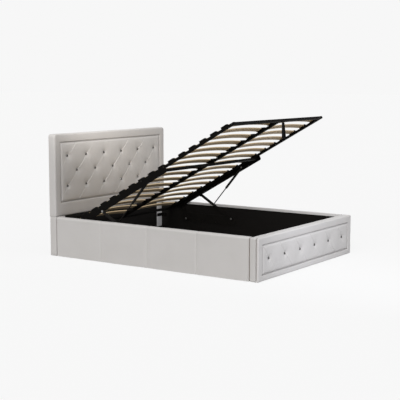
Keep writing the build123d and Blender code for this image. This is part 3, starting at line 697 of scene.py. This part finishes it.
@dataclass
class TuftedPad:
    """A buttoned pad in a pocket of an upholstered board."""

    name: str
    node: str
    piping_node: str
    buttons_node: str
    row_counts: tuple[int, ...]
    middle_z: float
    fold: Fold
    cell: float = 0.0105
    pitch_x: float = 0.25223
    pitch_z: float = 0.13425
    start_drop: float = 0.007
    back_gap: float = 0.0025
    pin_radius: float = 0.012
    pin_rim: float = 0.002
    crown_width: float = 0.055
    crown_rise: float = 0.003
    quick_rise: float = 0.007      # a higher crown rise
    rim_width: float = 0.024
    rim_depth: float = 0.016
    tug_length: float = 0.17
    tug_mean: float = 0.75
    tug_swing: float = 1.2
    tug_range: tuple[float, float] = (0.15, 1.2)
    fold_depth: float = 0.0030
    fold_width: float = 0.0032
    roll_height: float = 0.0011
    roll_place: float = 0.007
    roll_width: float = 0.005
    roll_behind: float = 0.3
    crease_depth: float = 0.0006
    crease_width: float = 0.020
    dimple_depth: float = 0.0080
    dimple_width: float = 0.019
    draw_depth: float = 0.0040
    draw_width: float = 0.032
    floor_gap: float = 0.0035
    floor_fade: float = 0.012
    least_depth: float = 0.004
    swell_cap: float = 0.009
    welt_radius: float = 0.0026
    welt_inset: float = 0.0030
    welt_drop: float = 0.0060
    welt_corner: float = 0.006
    button_radius: float = 0.0115
    button_base: float = 0.003
    button_edge: float = 0.0004
    button_tiers: tuple[Point, ...] = (    # each tier's inset, rise and taper
        (0.0009, -0.0006, 0.93), (0.0, -0.0022, 0.86), (0.0, -0.0016, 0.72))

    def __post_init__(self) -> None:
        """Read the pad's place from its CAD solid."""
        self.low, self.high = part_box(self.node)

    @property
    def places(self) -> list[tuple[float, float]]:
        """Return the buttons' middles, row by row."""
        found = []
        for row, count in enumerate(self.row_counts):
            z = self.middle_z + ((len(self.row_counts) - 1) / 2 - row) * self.pitch_z
            found += [((i - (count - 1) / 2) * self.pitch_x, z) for i in range(count)]
        return found

    def from_button(self, places: np.ndarray) -> np.ndarray:
        """Return each point's distance from the nearest button."""
        return np.min([np.hypot(places[:, 0] - x, places[:, 2] - z)
                       for x, z in self.places], axis=0)

    def from_edge(self, places: np.ndarray) -> np.ndarray:
        """Return each point's distance from the pad's outline."""
        return np.min([places[:, 0] - self.low.x, self.high.x - places[:, 0],
                       places[:, 2] - self.low.z, self.high.z - places[:, 2]], axis=0)

    def from_pleats(self, places: np.ndarray) -> tuple[np.ndarray, np.ndarray]:
        """Return signed distances from the sharp and the soft pleats.

        Args:
            places: The points.

        Returns:
            Distances from the folded diagonals and from the ones that cross them.
        """
        half = self.pitch_x / 2
        across = places[:, 0] / half
        up = (places[:, 2] - self.middle_z) / self.pitch_z
        spacing = self.pitch_x * self.pitch_z / math.hypot(half, self.pitch_z)
        sharp = (across - self.fold.value * up + self.shift) / 2
        soft = (across + self.fold.value * up + self.shift) / 2
        return (sharp - np.round(sharp)) * spacing, (soft - np.round(soft)) * spacing

    @property
    def shift(self) -> int:
        """Return 1 where the middle row has no button at its centre."""
        return int(self.row_counts[len(self.row_counts) // 2] % 2 == 0)

    def score_folds(self, piece: Workpiece) -> None:
        """Give the leather edges along its folds, so that they come out crisp."""
        normal = Vector((2 / self.pitch_x, 0, -self.fold.value / self.pitch_z)).normalized()
        reach = math.ceil((self.high.x + self.pitch_z * 2) / self.pitch_x)
        middles = [Vector((self.pitch_x * (number - self.shift / 2), 0, self.middle_z))
                   for number in range(-reach, reach + 1)]
        piece.slice_across(normal, [middle + normal * self.fold_width * side
                                    for middle in middles for side in (-1, 0, 1)])

    def blank(self) -> Workpiece:
        """Make the closed pad before it is buttoned."""
        low, high = self.low, self.high
        width, height = high.x - low.x, high.z - low.z
        piece = Workpiece.net(self.name, round(width / self.cell), round(height / self.cell))
        across, up, _ = piece.points.T
        front = low.y + self.start_drop
        piece.lay(spread(across, low.x, high.x), front, spread(up, low.z, high.z))
        return piece.modify("SOLIDIFY", thickness=high.y - self.back_gap - front, offset=-1.0)

    def padding(self, places: np.ndarray, _: np.ndarray) -> np.ndarray:
        """Raise the front between the buttons, before it swells."""
        crown = 1 - bell(self.from_button(places), self.crown_width)
        front = places[:, 1] < self.low.y + self.start_drop + NEAR
        moved = places.copy()
        moved[:, 1] -= self.crown_rise * crown * front
        return moved

    def pleating(self, places: np.ndarray, _: np.ndarray) -> np.ndarray:
        """Sink the folds, the creases, the button dimples and the pad's rim."""
        sharp, soft = self.from_pleats(places)
        tug = [noise.noise(Vector((x, 3.0, z)) / self.tug_length) for x, _, z in places]
        tug = np.clip(self.tug_mean + self.tug_swing * np.array(tug), *self.tug_range)
        groove = self.fold_depth * bell(sharp, self.fold_width)
        roll = self.roll_height * bell(np.abs(sharp) - self.roll_place, self.roll_width)
        sink = tug * (groove - roll * np.where(sharp > 0, 1.0, self.roll_behind))
        sink += self.crease_depth * np.exp(-np.abs(soft) / self.crease_width)
        away = self.from_button(places)
        sink += self.dimple_depth * bell(away, self.dimple_width)
        sink += self.draw_depth * np.exp(-away / self.draw_width)
        gap = np.clip(1 - self.from_edge(places) / self.rim_width, 0, 1)
        sink += self.rim_depth * (1 - np.sqrt(1 - gap ** 2))
        back = self.high.y
        depth = np.clip((back - self.floor_gap - places[:, 1]) / self.floor_fade, 0, 1)
        moved = places.copy()
        moved[:, 1] = np.minimum(places[:, 1] + sink * depth,
                                 np.maximum(places[:, 1], back - self.least_depth))
        return moved

    def build(self) -> None:
        """Make the pad, its piping and its buttons."""
        piece = self.blank().reshape(self.padding)
        places = piece.points
        held = ((self.from_button(places) < self.pin_radius)
                | (self.from_edge(places) < self.pin_rim)
                | (places[:, 1] > self.low.y + self.start_drop + NEAR))
        swell(piece, held, self.swell_cap)
        piece.modify("SUBSURF", levels=1, render_levels=1, subdivision_type="CATMULL_CLARK")
        self.score_folds(piece)
        piece.reshape(self.pleating).ripple(height=0.0009, length=0.035).smooth(60)
        piece.finish(LEATHER, "bed_base", self.node)
        self.build_piping()
        self.build_buttons()

    def build_piping(self) -> None:
        """Run a leather welt round the pocket."""
        low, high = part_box(self.piping_node)
        piece = Workpiece.start(self.piping_node.replace("piping", "welt"),
                                bpy.ops.mesh.primitive_plane_add, size=1)
        across, up, _ = piece.points.T
        inset = self.welt_inset
        piece.lay(spread(across, low.x + inset, high.x - inset),
                  low.y + self.welt_radius + self.welt_drop,
                  spread(up, low.z + inset, high.z - inset))
        piece.choose(Pick.VERTICES, lambda _, __: True).edit(
            lambda: bpy.ops.mesh.bevel(offset=self.welt_corner, segments=4, affect="VERTICES"),
            lambda: bpy.ops.mesh.select_all(action="SELECT"),
            lambda: bpy.ops.mesh.delete(type="ONLY_FACE"))
        piece.hold()
        bpy.ops.object.convert(target="CURVE")
        piece.obj.data.bevel_depth = self.welt_radius
        piece.obj.data.bevel_resolution = 3
        bpy.ops.object.convert(target="MESH")
        piece = Workpiece(bpy.context.active_object)
        piece.outward().smooth(60)
        piece.finish(WELT_IN_PAINTED_SHADE, "bed_base", self.piping_node)

    def build_buttons(self) -> None:
        """Cut one button and set a copy in every dimple."""
        low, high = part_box(self.buttons_node)
        first = Workpiece.start(
            "first_button", bpy.ops.mesh.primitive_cylinder_add, vertices=12,
            radius=self.button_radius, depth=self.button_base,
            location=(0, high.y - self.button_base / 2, 0), rotation=(math.pi / 2, 0, 0))
        for rim, rise, share in self.button_tiers:
            top = min(p.center.y for p in first.obj.data.polygons)
            first.choose(Pick.FACES, lambda c, n: n.y < -FACING and c.y < top + NEAR)
            first.edit(lambda: bpy.ops.mesh.inset(thickness=rim) if rim else None,
                       lambda: extrude((0, rise, 0)),
                       lambda: bpy.ops.transform.resize(value=(share, 1, share)))
        rise = low.y - min(p.center.y for p in first.obj.data.polygons)
        points = first.points
        points[:, 1] += np.where(points[:, 1] < points[:, 1].min() + NEAR, rise, 0)
        first.points = points
        first.round_edges(self.button_edge, 1,
                          lambda m, d: at(m.y, high.y - self.button_base))
        copies = [first.copied(Matrix.Translation((x, 0, z))) for x, z in self.places]
        bpy.data.objects.remove(first.obj)
        copies[0].hold()
        for copy in copies:
            copy.obj.select_set(True)
        bpy.ops.object.join()
        joined = copies[0].named(self.buttons_node.replace("buttons", "cut_buttons"))
        joined.finish(CRYSTAL, "bed_base", self.buttons_node)


def sink(piece: Workpiece, box: Box, face: float, depth: float) -> None:
    """Push in the part of an upright face that lies in a box's outline.

    Args:
        piece: The piece.
        box: The box.
        face: Where the face is along Y.
        depth: How far it goes along Y: towards the head, or the foot if negative.
    """
    low, high = box
    inwards = math.copysign(1.0, depth)
    piece.slice_at(Axis.X, (low.x, high.x)).slice_at(Axis.Z, (low.z, high.z))
    piece.push((0, depth, 0), lambda c, n: n.y * inwards < -FACING and at(c.y, face)
               and within(c, box))


POCKET_DEPTH = 0.022
POCKET_RADIUS = 0.006


def cut_pocket(piece: Workpiece, box: Box, front: float) -> None:
    """Sink a pocket in the front of a padded board and round its rim.

    Args:
        piece: The board.
        box: The pocket's outline.
        front: Where the board's front is along Y.
    """
    low, high = box
    sink(piece, box, front, POCKET_DEPTH)
    piece.round_edges(POCKET_RADIUS, 5, lambda m, d: at(m.y, front) and within(m, box, NEAR) and (
        (at(m.x, low.x, high.x) and abs(d.z) > FACING)
        or (at(m.z, low.z, high.z) and abs(d.x) > FACING)))


@dataclass
class Headboard:
    """Upholstered board with a tufted pad, on two upholstered legs, with cloth on its back."""

    rim_radius: float = 0.014
    corner_radius: float = 0.026
    wall: float = 0.016
    front_foam: float = 0.024
    leg_radius: float = 0.011
    foot_radius: float = 0.003
    seam_radius: float = 0.005
    step: float = 0.045
    leg_step: float = 0.03

    def build(self) -> None:
        """Make the border, the pad, the legs and the back cloth."""
        self.build_border()
        TuftedPad("headboard_pad", "headboard_tufted_pad", "headboard_piping",
                  "headboard_buttons", (6, 5, 6), middle_z=0.7455, fold=Fold.RISING).build()
        self.build_legs()
        self.build_back_cloth()

    def build_border(self) -> None:
        """Pad the board's border round the pocket."""
        low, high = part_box("headboard_cover")
        piece = Workpiece.block("headboard_border", low, high)
        piece.round_edges(self.corner_radius, 7,
                          lambda m, d: abs(d.y) > FACING and at(m.z, high.z))
        piece.round_edges(self.rim_radius, 6,
                          lambda m, d: at(m.y, low.y) and abs(d.y) < 1 - FACING)
        piece.round_edges(self.seam_radius, 3,
                          lambda m, d: abs(d.y) > FACING and at(m.z, low.z))
        piece.choose(Pick.FACES, lambda c, n: n.y > FACING and at(c.y, high.y))
        piece.edit(lambda: bpy.ops.mesh.inset(thickness=self.wall),
                   lambda: extrude((0, -(high.y - low.y) + self.front_foam, 0)))
        cut_pocket(piece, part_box("headboard_piping"), low.y)
        piece.slice_evenly((low, high), {Axis.X: self.step, Axis.Z: self.step})
        piece.ripple(height=0.0012, length=0.09, seed=3.0).smooth(50)
        piece.finish(LEATHER, "bed_base", "headboard_cover")

    def build_legs(self) -> None:
        """Cover the two legs."""
        low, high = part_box("headboard_leg_right")
        leg = Workpiece.block("headboard_leg_cover_right", low, high)
        leg.round_edges(self.leg_radius, 5, lambda m, d: abs(d.z) > FACING)
        leg.round_edges(self.seam_radius, 3, lambda m, d: at(m.z, high.z))
        leg.round_edges(self.foot_radius, 2, lambda m, d: at(m.z, low.z))
        leg.slice_evenly((low, high), {Axis.Z: self.leg_step, Axis.X: self.leg_step})
        leg.ripple(height=0.0008, length=0.07, seed=7.0).smooth(50)
        other = leg.mirrored("headboard_leg_cover_left")
        leg.finish(LEATHER, "bed_base", "headboard_leg_right")
        other.finish(LEATHER, "bed_base", "headboard_leg_left")

    def build_back_cloth(self) -> None:
        """Stretch the black cloth over the back."""
        low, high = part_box("headboard_back_cloth")
        cloth = stretched_sheet("headboard_dust_cloth", (low.x, low.z), (high.x, high.z),
                                Axis.Y, (low.y + high.y) / 2)
        cloth.finish(BACKING, "bed_base", "headboard_back_cloth")


CLOTH_THICKNESS = 0.0012
CLOTH_CELL = 0.02
CLOTH_WAVE = 0.0006


def stretched_sheet(name: str, low: tuple[float, float], high: tuple[float, float], axis: Axis,
                    place: float) -> Workpiece:
    """Make a taut upright sheet of cloth across an axis.

    Args:
        name: The sheet's name.
        low: Its lowest corner, along the bed or across it, and up.
        high: Its highest corner.
        axis: The axis that it stands across.
        place: Where it crosses that axis.

    Returns:
        The sheet.
    """
    width, height = high[0] - low[0], high[1] - low[1]
    sheet = Workpiece.net(name, round(width / CLOTH_CELL), round(height / CLOTH_CELL))
    across, rise, _ = sheet.points.T
    along, up = spread(across, low[0], high[0]), spread(rise, low[1], high[1])
    rim = np.minimum(0.5 - np.abs(across), (0.5 - np.abs(rise)) * height / width)
    wave = [noise.noise(Vector((a * 9, u * 4, place))) for a, u in zip(along, up)]
    off = place + CLOTH_WAVE * np.array(wave) * np.clip(rim * 30, 0, 1)
    sheet.lay(*((off, along, up) if axis is Axis.X else (along, off, up)))
    return sheet.modify("SOLIDIFY", thickness=CLOTH_THICKNESS, offset=0.0).smooth(30)


@dataclass
class Footboard:
    """Low upholstered board with a tufted pad."""

    rim_radius: float = 0.013
    seam_radius: float = 0.010
    corner_seam: float = 0.0175
    corner_seam_depth: float = 0.015
    corner_seam_width: float = 0.0090
    hem_radius: float = 0.012
    rebate: float = 0.0555
    step_x: float = 0.045
    step_z: float = 0.04

    def build(self) -> None:
        """Make the border and the pad."""
        low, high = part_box("footboard_cover")
        piece = Workpiece.block("footboard_border", low, high)
        piece.round_edges(self.rim_radius, 6, lambda m, d: at(m.z, high.z) or (
            at(m.y, low.y) and abs(d.z) > FACING))
        piece.round_edges(self.seam_radius, 4,
                          lambda m, d: at(m.y, high.y) and abs(d.z) > FACING)
        piece.round_edges(self.hem_radius, 4, lambda m, d: at(m.z, low.z))
        sink(piece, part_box("storage_lining"), high.y, -self.rebate)
        cut_pocket(piece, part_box("footboard_piping"), low.y)
        piece.slice_evenly((low, high), {Axis.X: self.step_x, Axis.Z: self.step_z})
        seam = low.y + self.corner_seam
        piece.slice_at(Axis.Y, [seam + self.corner_seam_width * f for f in (-0.9, -0.5, 0.5, 0.9)])

        def sew(places: np.ndarray, normals: np.ndarray) -> np.ndarray:
            """Draw in the seam that runs down each side, behind the front corner."""
            side = np.abs(normals[:, 0]) > 0.5
            away = np.abs(places[:, 1] - seam) / self.corner_seam_width
            draw = self.corner_seam_depth * (away < 0.6) * side
            return places - normals * draw[:, None]

        piece.reshape(sew).ripple(height=0.0012, length=0.09, seed=11.0).smooth(50)
        piece.finish(LEATHER, "bed_base", "footboard_cover")
        TuftedPad("footboard_pad", "footboard_tufted_pad", "footboard_piping",
                  "footboard_buttons", (6,), middle_z=0.173, fold=Fold.FALLING).build()


@dataclass
class SideRails:
    """The two padded rails, each of four panels sewn together."""

    panels: int = 4
    crown: float = 0.004
    seam_depth: float = 0.0035
    seam_width: float = 0.005
    top_radius: float = 0.016
    inner_radius: float = 0.006
    end_radius: float = 0.009
    hem_radius: float = 0.012
    end_gap: float = 0.004
    end_wall: float = 0.001
    lip: float = 0.003
    lip_drop: float = 0.021
    step_y: float = 0.04
    step_z: float = 0.03

    def __post_init__(self) -> None:
        """Read the right cover's and board's places from the CAD, and share out the seams."""
        self.low, self.high = low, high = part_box("side_rail_cover_right")
        self.board_low, self.board_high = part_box("side_rail_board_right")
        low.y, high.y = low.y + self.end_gap, high.y - self.end_gap
        self.seams = [low.y + (high.y - low.y) * i / self.panels for i in range(1, self.panels)]

    def shell(self) -> Workpiece:
        """Shape the right cover, open to its board, before it is sewn."""
        low, high, board_low, board_high = self.low, self.high, self.board_low, self.board_high
        lip_z = high.z - self.lip_drop
        start, end = low.y + self.end_wall, high.y - self.end_wall
        rail = Workpiece.block("side_rail_padding_right", (board_low.x, low.y, low.z), high)
        rail.slice_at(Axis.Z, (lip_z, board_low.z))
        rail.push((-self.lip, 0, 0), lambda c, n: n.x < -FACING and c.z > lip_z)
        rail.round_edges(self.top_radius, 6, lambda m, d: abs(d.y) > FACING
                         and at(m.x, high.x) and at(m.z, high.z))
        rail.round_edges(self.inner_radius, 4, lambda m, d: abs(d.y) > FACING
                         and m.x < low.x + NEAR and at(m.z, high.z))
        rail.round_edges(self.end_radius, 4, lambda m, d: abs(d.z) > FACING
                         and at(m.x, high.x) and at(m.y, low.y, high.y))
        rail.round_edges(self.hem_radius, 4, lambda m, d: abs(d.y) > FACING
                         and at(m.x, high.x) and at(m.z, low.z))
        rail.slice_at(Axis.Y, (start, end))
        rail.push((board_high.x - board_low.x, 0, 0), lambda c, n: n.x < -FACING
                  and board_low.z < c.z < lip_z and start < c.y < end)
        rail.slice_evenly((low, high), {Axis.Z: self.step_z, Axis.Y: self.step_y})
        fine = (-2.0, -1.0, -0.5, 0.0, 0.5, 1.0, 2.0)
        return rail.slice_at(Axis.Y, [s + self.seam_width * f for s in self.seams for f in fine])

    def sewing(self, places: np.ndarray, normals: np.ndarray) -> np.ndarray:
        """Crown each panel and draw in the seams."""
        skin_x = self.board_high.x
        outer = np.clip((places[:, 0] - skin_x) / (self.high.x - skin_x), 0, 1)
        stops = np.array([self.low.y, *self.seams, self.high.y])
        which = np.clip(np.searchsorted(stops, places[:, 1]) - 1, 0, self.panels - 1)
        middle = (stops[which] + stops[which + 1]) / 2
        share = np.abs(places[:, 1] - middle) / ((stops[1] - stops[0]) / 2)
        away = np.min([np.abs(places[:, 1] - s) for s in self.seams], axis=0)
        groove = self.seam_depth * bell(away, self.seam_width)
        faces_out = normals[:, 0] > 0.05
        skin = faces_out | (normals[:, 2] > 0.5)
        draw = self.crown * share ** 4 * outer * faces_out + groove * skin
        return places - normals * draw[:, None]

    def build(self) -> None:
        """Make the right cover and mirror it."""
        rail = self.shell().reshape(self.sewing)
        rail.ripple(height=0.0013, length=0.11, seed=5.0).smooth(45)
        other = rail.mirrored("side_rail_padding_left")
        rail.finish(LEATHER, "bed_base", "side_rail_cover_right")
        other.finish(LEATHER, "bed_base", "side_rail_cover_left")


@dataclass
class StorageBox:
    """The lined box under the platform."""

    inset: float = 0.001
    foot_gap: float = 0.004

    def build(self) -> None:
        """Hang the lining on the rails, the footboard and the head end board."""
        low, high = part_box("storage_lining")
        right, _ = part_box("head_end_panel")
        inner = high.x - self.inset
        along = ((low.y, low.z), (high.y - self.foot_gap, high.z))
        foot_x = inner - self.inset
        sheets = (
            ("lining_left", *along, Axis.X, -inner, "side_rail_board_left"),
            ("lining_right", *along, Axis.X, inner, "side_rail_board_right"),
            ("lining_foot", (-foot_x, low.z), (foot_x, high.z), Axis.Y, low.y + self.inset,
             "footboard_core"),
            ("lining_head", (right.x, low.z), (-right.x, high.z), Axis.Y, high.y - self.inset,
             "head_end_panel"),
        )
        for name, start, end, axis, place, held_by in sheets:
            sheet = stretched_sheet(name, start, end, axis, place)
            sheet.finish(LINING, "bed_base", "storage_lining")


@dataclass
class PullStrap:
    """A loop of webbing that hangs under the platform's foot end."""

    near_x: float = 0.036
    far_x: float = 0.046
    loop_near_x: float = 0.038
    loop_far_x: float = 0.074
    loop_radius: float = 0.011
    drop: float = 0.130
    thickness: float = 0.0016
    edge_radius: float = 0.0004
    side_steps: int = 16
    turn_steps: int = 5
    width_steps: int = 6

    def route(self, top: float) -> np.ndarray:
        """Return the loop's line, from one end round its wide foot to the other.

        Args:
            top: How high the ends are.

        Returns:
            Places across and up.
        """
        radius, steps = self.loop_radius, self.side_steps
        low = top - self.drop + radius
        turns = np.linspace(0, math.pi / 2, self.turn_steps + 1)
        near = [(self.loop_near_x + radius * (1 - math.cos(t)), low - radius * math.sin(t))
                for t in turns]
        far = [(self.loop_far_x - radius * (1 - math.sin(t)), low - radius * math.cos(t))
               for t in turns]
        down = np.linspace((self.near_x, top), near[0], steps, endpoint=False)
        up = np.linspace(far[-1], (self.far_x, top), steps + 1)[1:]
        return np.concatenate([down, near, far, up])

    def build(self) -> None:
        """Lay the band along its line."""
        low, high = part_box("pull_strap")
        line = self.route(high.z - self.thickness / 2)
        band = Workpiece.net("pull_strap_webbing", len(line) - 1, self.width_steps)
        along, across, _ = band.points.T
        which = np.rint((along + 0.5) * (len(line) - 1)).astype(int)
        band.lay(line[which, 0], spread(across, low.y, high.y), line[which, 1])
        band.modify("SOLIDIFY", thickness=self.thickness, offset=0.0)
        band.modify("BEVEL", width=self.edge_radius, segments=2, limit_method="ANGLE")
        band.smooth(50).finish(STRAP, "pull_strap", "pull_strap")


class BareHardware:
    """The timber, steel and plastic parts whose CAD shape is right as it is."""

    finishes = NODE_FINISHES

    def dress(self) -> None:
        """Give each CAD node its finish."""
        for finish, nodes in self.finishes.items():
            for node in nodes:
                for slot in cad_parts[node].material_slots:
                    slot.material = material_of(finish)
                LOG.info("%s dressed in %s", node, finish.title)


# Studio


@dataclass(frozen=True)
class StudioCamera:
    """Long lens from beyond the left rail and the foot, slightly above the bed."""

    place: Point = (-7.24906, -4.95063, 1.56321)
    heading_deg: float = 55.58
    pitch_deg: float = 6.97
    lens_mm: float = 89.9
    sight: float = 400.0

    def build(self) -> None:
        """Set the camera up."""
        turn = (math.radians(90 - self.pitch_deg), 0, -math.radians(self.heading_deg))
        bpy.ops.object.camera_add(location=self.place, rotation=turn)
        camera = bpy.context.active_object
        camera.data.lens = self.lens_mm
        camera.data.clip_end = self.sight
        bpy.context.scene.camera = camera


@dataclass(frozen=True)
class Softbox:
    """A lamp: a broad sun, as a large softbox far away, or a square one close to the bed."""

    name: str
    kind: str
    place: Point
    aim: Point
    energy: float
    settings: tuple[tuple[str, float], ...]
    colour: str = "FFFFFF"

    def build(self) -> None:
        """Hang the lamp, out of the camera's sight."""
        turn = (Vector(self.place) - Vector(self.aim)).to_track_quat("Z", "Y").to_euler()
        bpy.ops.object.light_add(type=self.kind, location=self.place, rotation=turn)
        lamp = bpy.context.active_object
        lamp.name = self.name
        lamp.data.energy = self.energy
        lamp.data.color = linear(self.colour)[:3]
        lamp.visible_camera = False
        for name, value in self.settings:
            setattr(lamp.data, name, value)


def show_behind(tree: NodeTree, output: str, plain: Socket, elsewhere: Socket) -> None:
    """End a tree in one look for the picture's background and another for the light.

    Args:
        tree: The node tree.
        output: What follows ShaderNode in the output's type.
        plain: What is seen straight, mirrored or through something.
        elsewhere: What lights the bed.
    """
    path = add_node(tree, "LightPath").outputs
    seen = add_node(tree, "Math", {
        0: path["Is Camera Ray"], 1: path["Is Glossy Ray"]}, operation="MAXIMUM")
    through = add_node(tree, "Math", {
        0: seen.outputs[0], 1: path["Is Transmission Ray"]}, operation="MAXIMUM")
    both = add_node(tree, "MixShader", {0: through.outputs[0], 1: elsewhere, 2: plain})
    add_node(tree, output, {"Surface": both.outputs[0]})


@dataclass(frozen=True)
class PaperFloor(Finish):
    """Seamless studio paper: plain, pale and matt, with a faint shadow on it."""

    backdrop: str = "F7F7F7"
    bounce: str = "8E8C8A"
    shadow_part: float = 0.10
    paper_light: float = 0.70

    def wire(self, tree: NodeTree) -> None:
        """Show near white to the camera and bounce plain light elsewhere."""
        level = self.shadow_part
        lit = add_node(tree, "BsdfDiffuse", {"Color": (level, level, level, 1)})
        glow = add_node(tree, "Emission", {"Color": (
            *(c - level * self.paper_light for c in linear(self.backdrop)[:3]), 1)})
        paper = add_node(tree, "AddShader", {0: lit.outputs[0], 1: glow.outputs[0]})
        matt = add_node(tree, "BsdfDiffuse", {"Color": linear(self.bounce)})
        show_behind(tree, "OutputMaterial", paper.outputs[0], matt.outputs[0])


@dataclass
class Studio:
    """Floor, backdrop, lamps and camera."""

    floor: PaperFloor = PaperFloor("studio_paper", "")
    floor_size: float = 160.0
    sky: float = 0.45
    lamps: tuple[Softbox, ...] = (
        Softbox("key_softbox", "SUN", (-0.86, -0.16, 0.48), (0.0, 0.0, 0.0), 1.66,
                (("angle", math.radians(38)),)),
        Softbox("top_softbox", "SUN", (0.25, -0.10, 0.95), (0.0, 0.0, 0.0), 0.12,
                (("angle", math.radians(60)),)),
        Softbox("foot_softbox", "AREA", (-0.6, -2.8, 1.0), (0.0, -1.08, 0.2), 5.4,
                (("size", 1.3), ("spread", math.radians(70))), "F1F5FF"),
        Softbox("head_softbox", "AREA", (-1.9, -0.1, 1.50), (0.0, 1.05, 1.20), 1.7,
                (("size", 0.4), ("spread", math.radians(34))), "FFFBF6"),
    )

    def build(self) -> None:
        """Lay the paper, light the bed and aim the camera."""
        paper = Workpiece.start("studio_floor", bpy.ops.mesh.primitive_plane_add,
                                size=self.floor_size).obj
        paper.data.materials.append(material_of(self.floor))
        self.build_sky()
        for lamp in self.lamps:
            lamp.build()
        StudioCamera().build()

    def build_sky(self) -> None:
        """Light the bed evenly from all round, with the paper's colour behind it."""
        world = bpy.data.worlds.new("studio_sky")
        bpy.context.scene.world = world
        world.use_nodes = True
        tree = world.node_tree
        tree.nodes.clear()
        fill = add_node(tree, "Background", {"Color": linear("FFFFFF"), "Strength": self.sky})
        behind = add_node(tree, "Background", {"Color": linear(self.floor.backdrop)})
        show_behind(tree, "OutputWorld", behind.outputs[0], fill.outputs[0])


def main() -> None:
    """Build every sub-assembly in order."""
    logging.basicConfig(level=logging.INFO, format="%(name)s %(message)s")
    bpy.context.scene.view_settings.view_transform = "Standard"
    Studio().build()
    Headboard().build()
    Footboard().build()
    SideRails().build()
    StorageBox().build()
    PullStrap().build()
    BareHardware().dress()


if __name__ == "__main__":
    main()
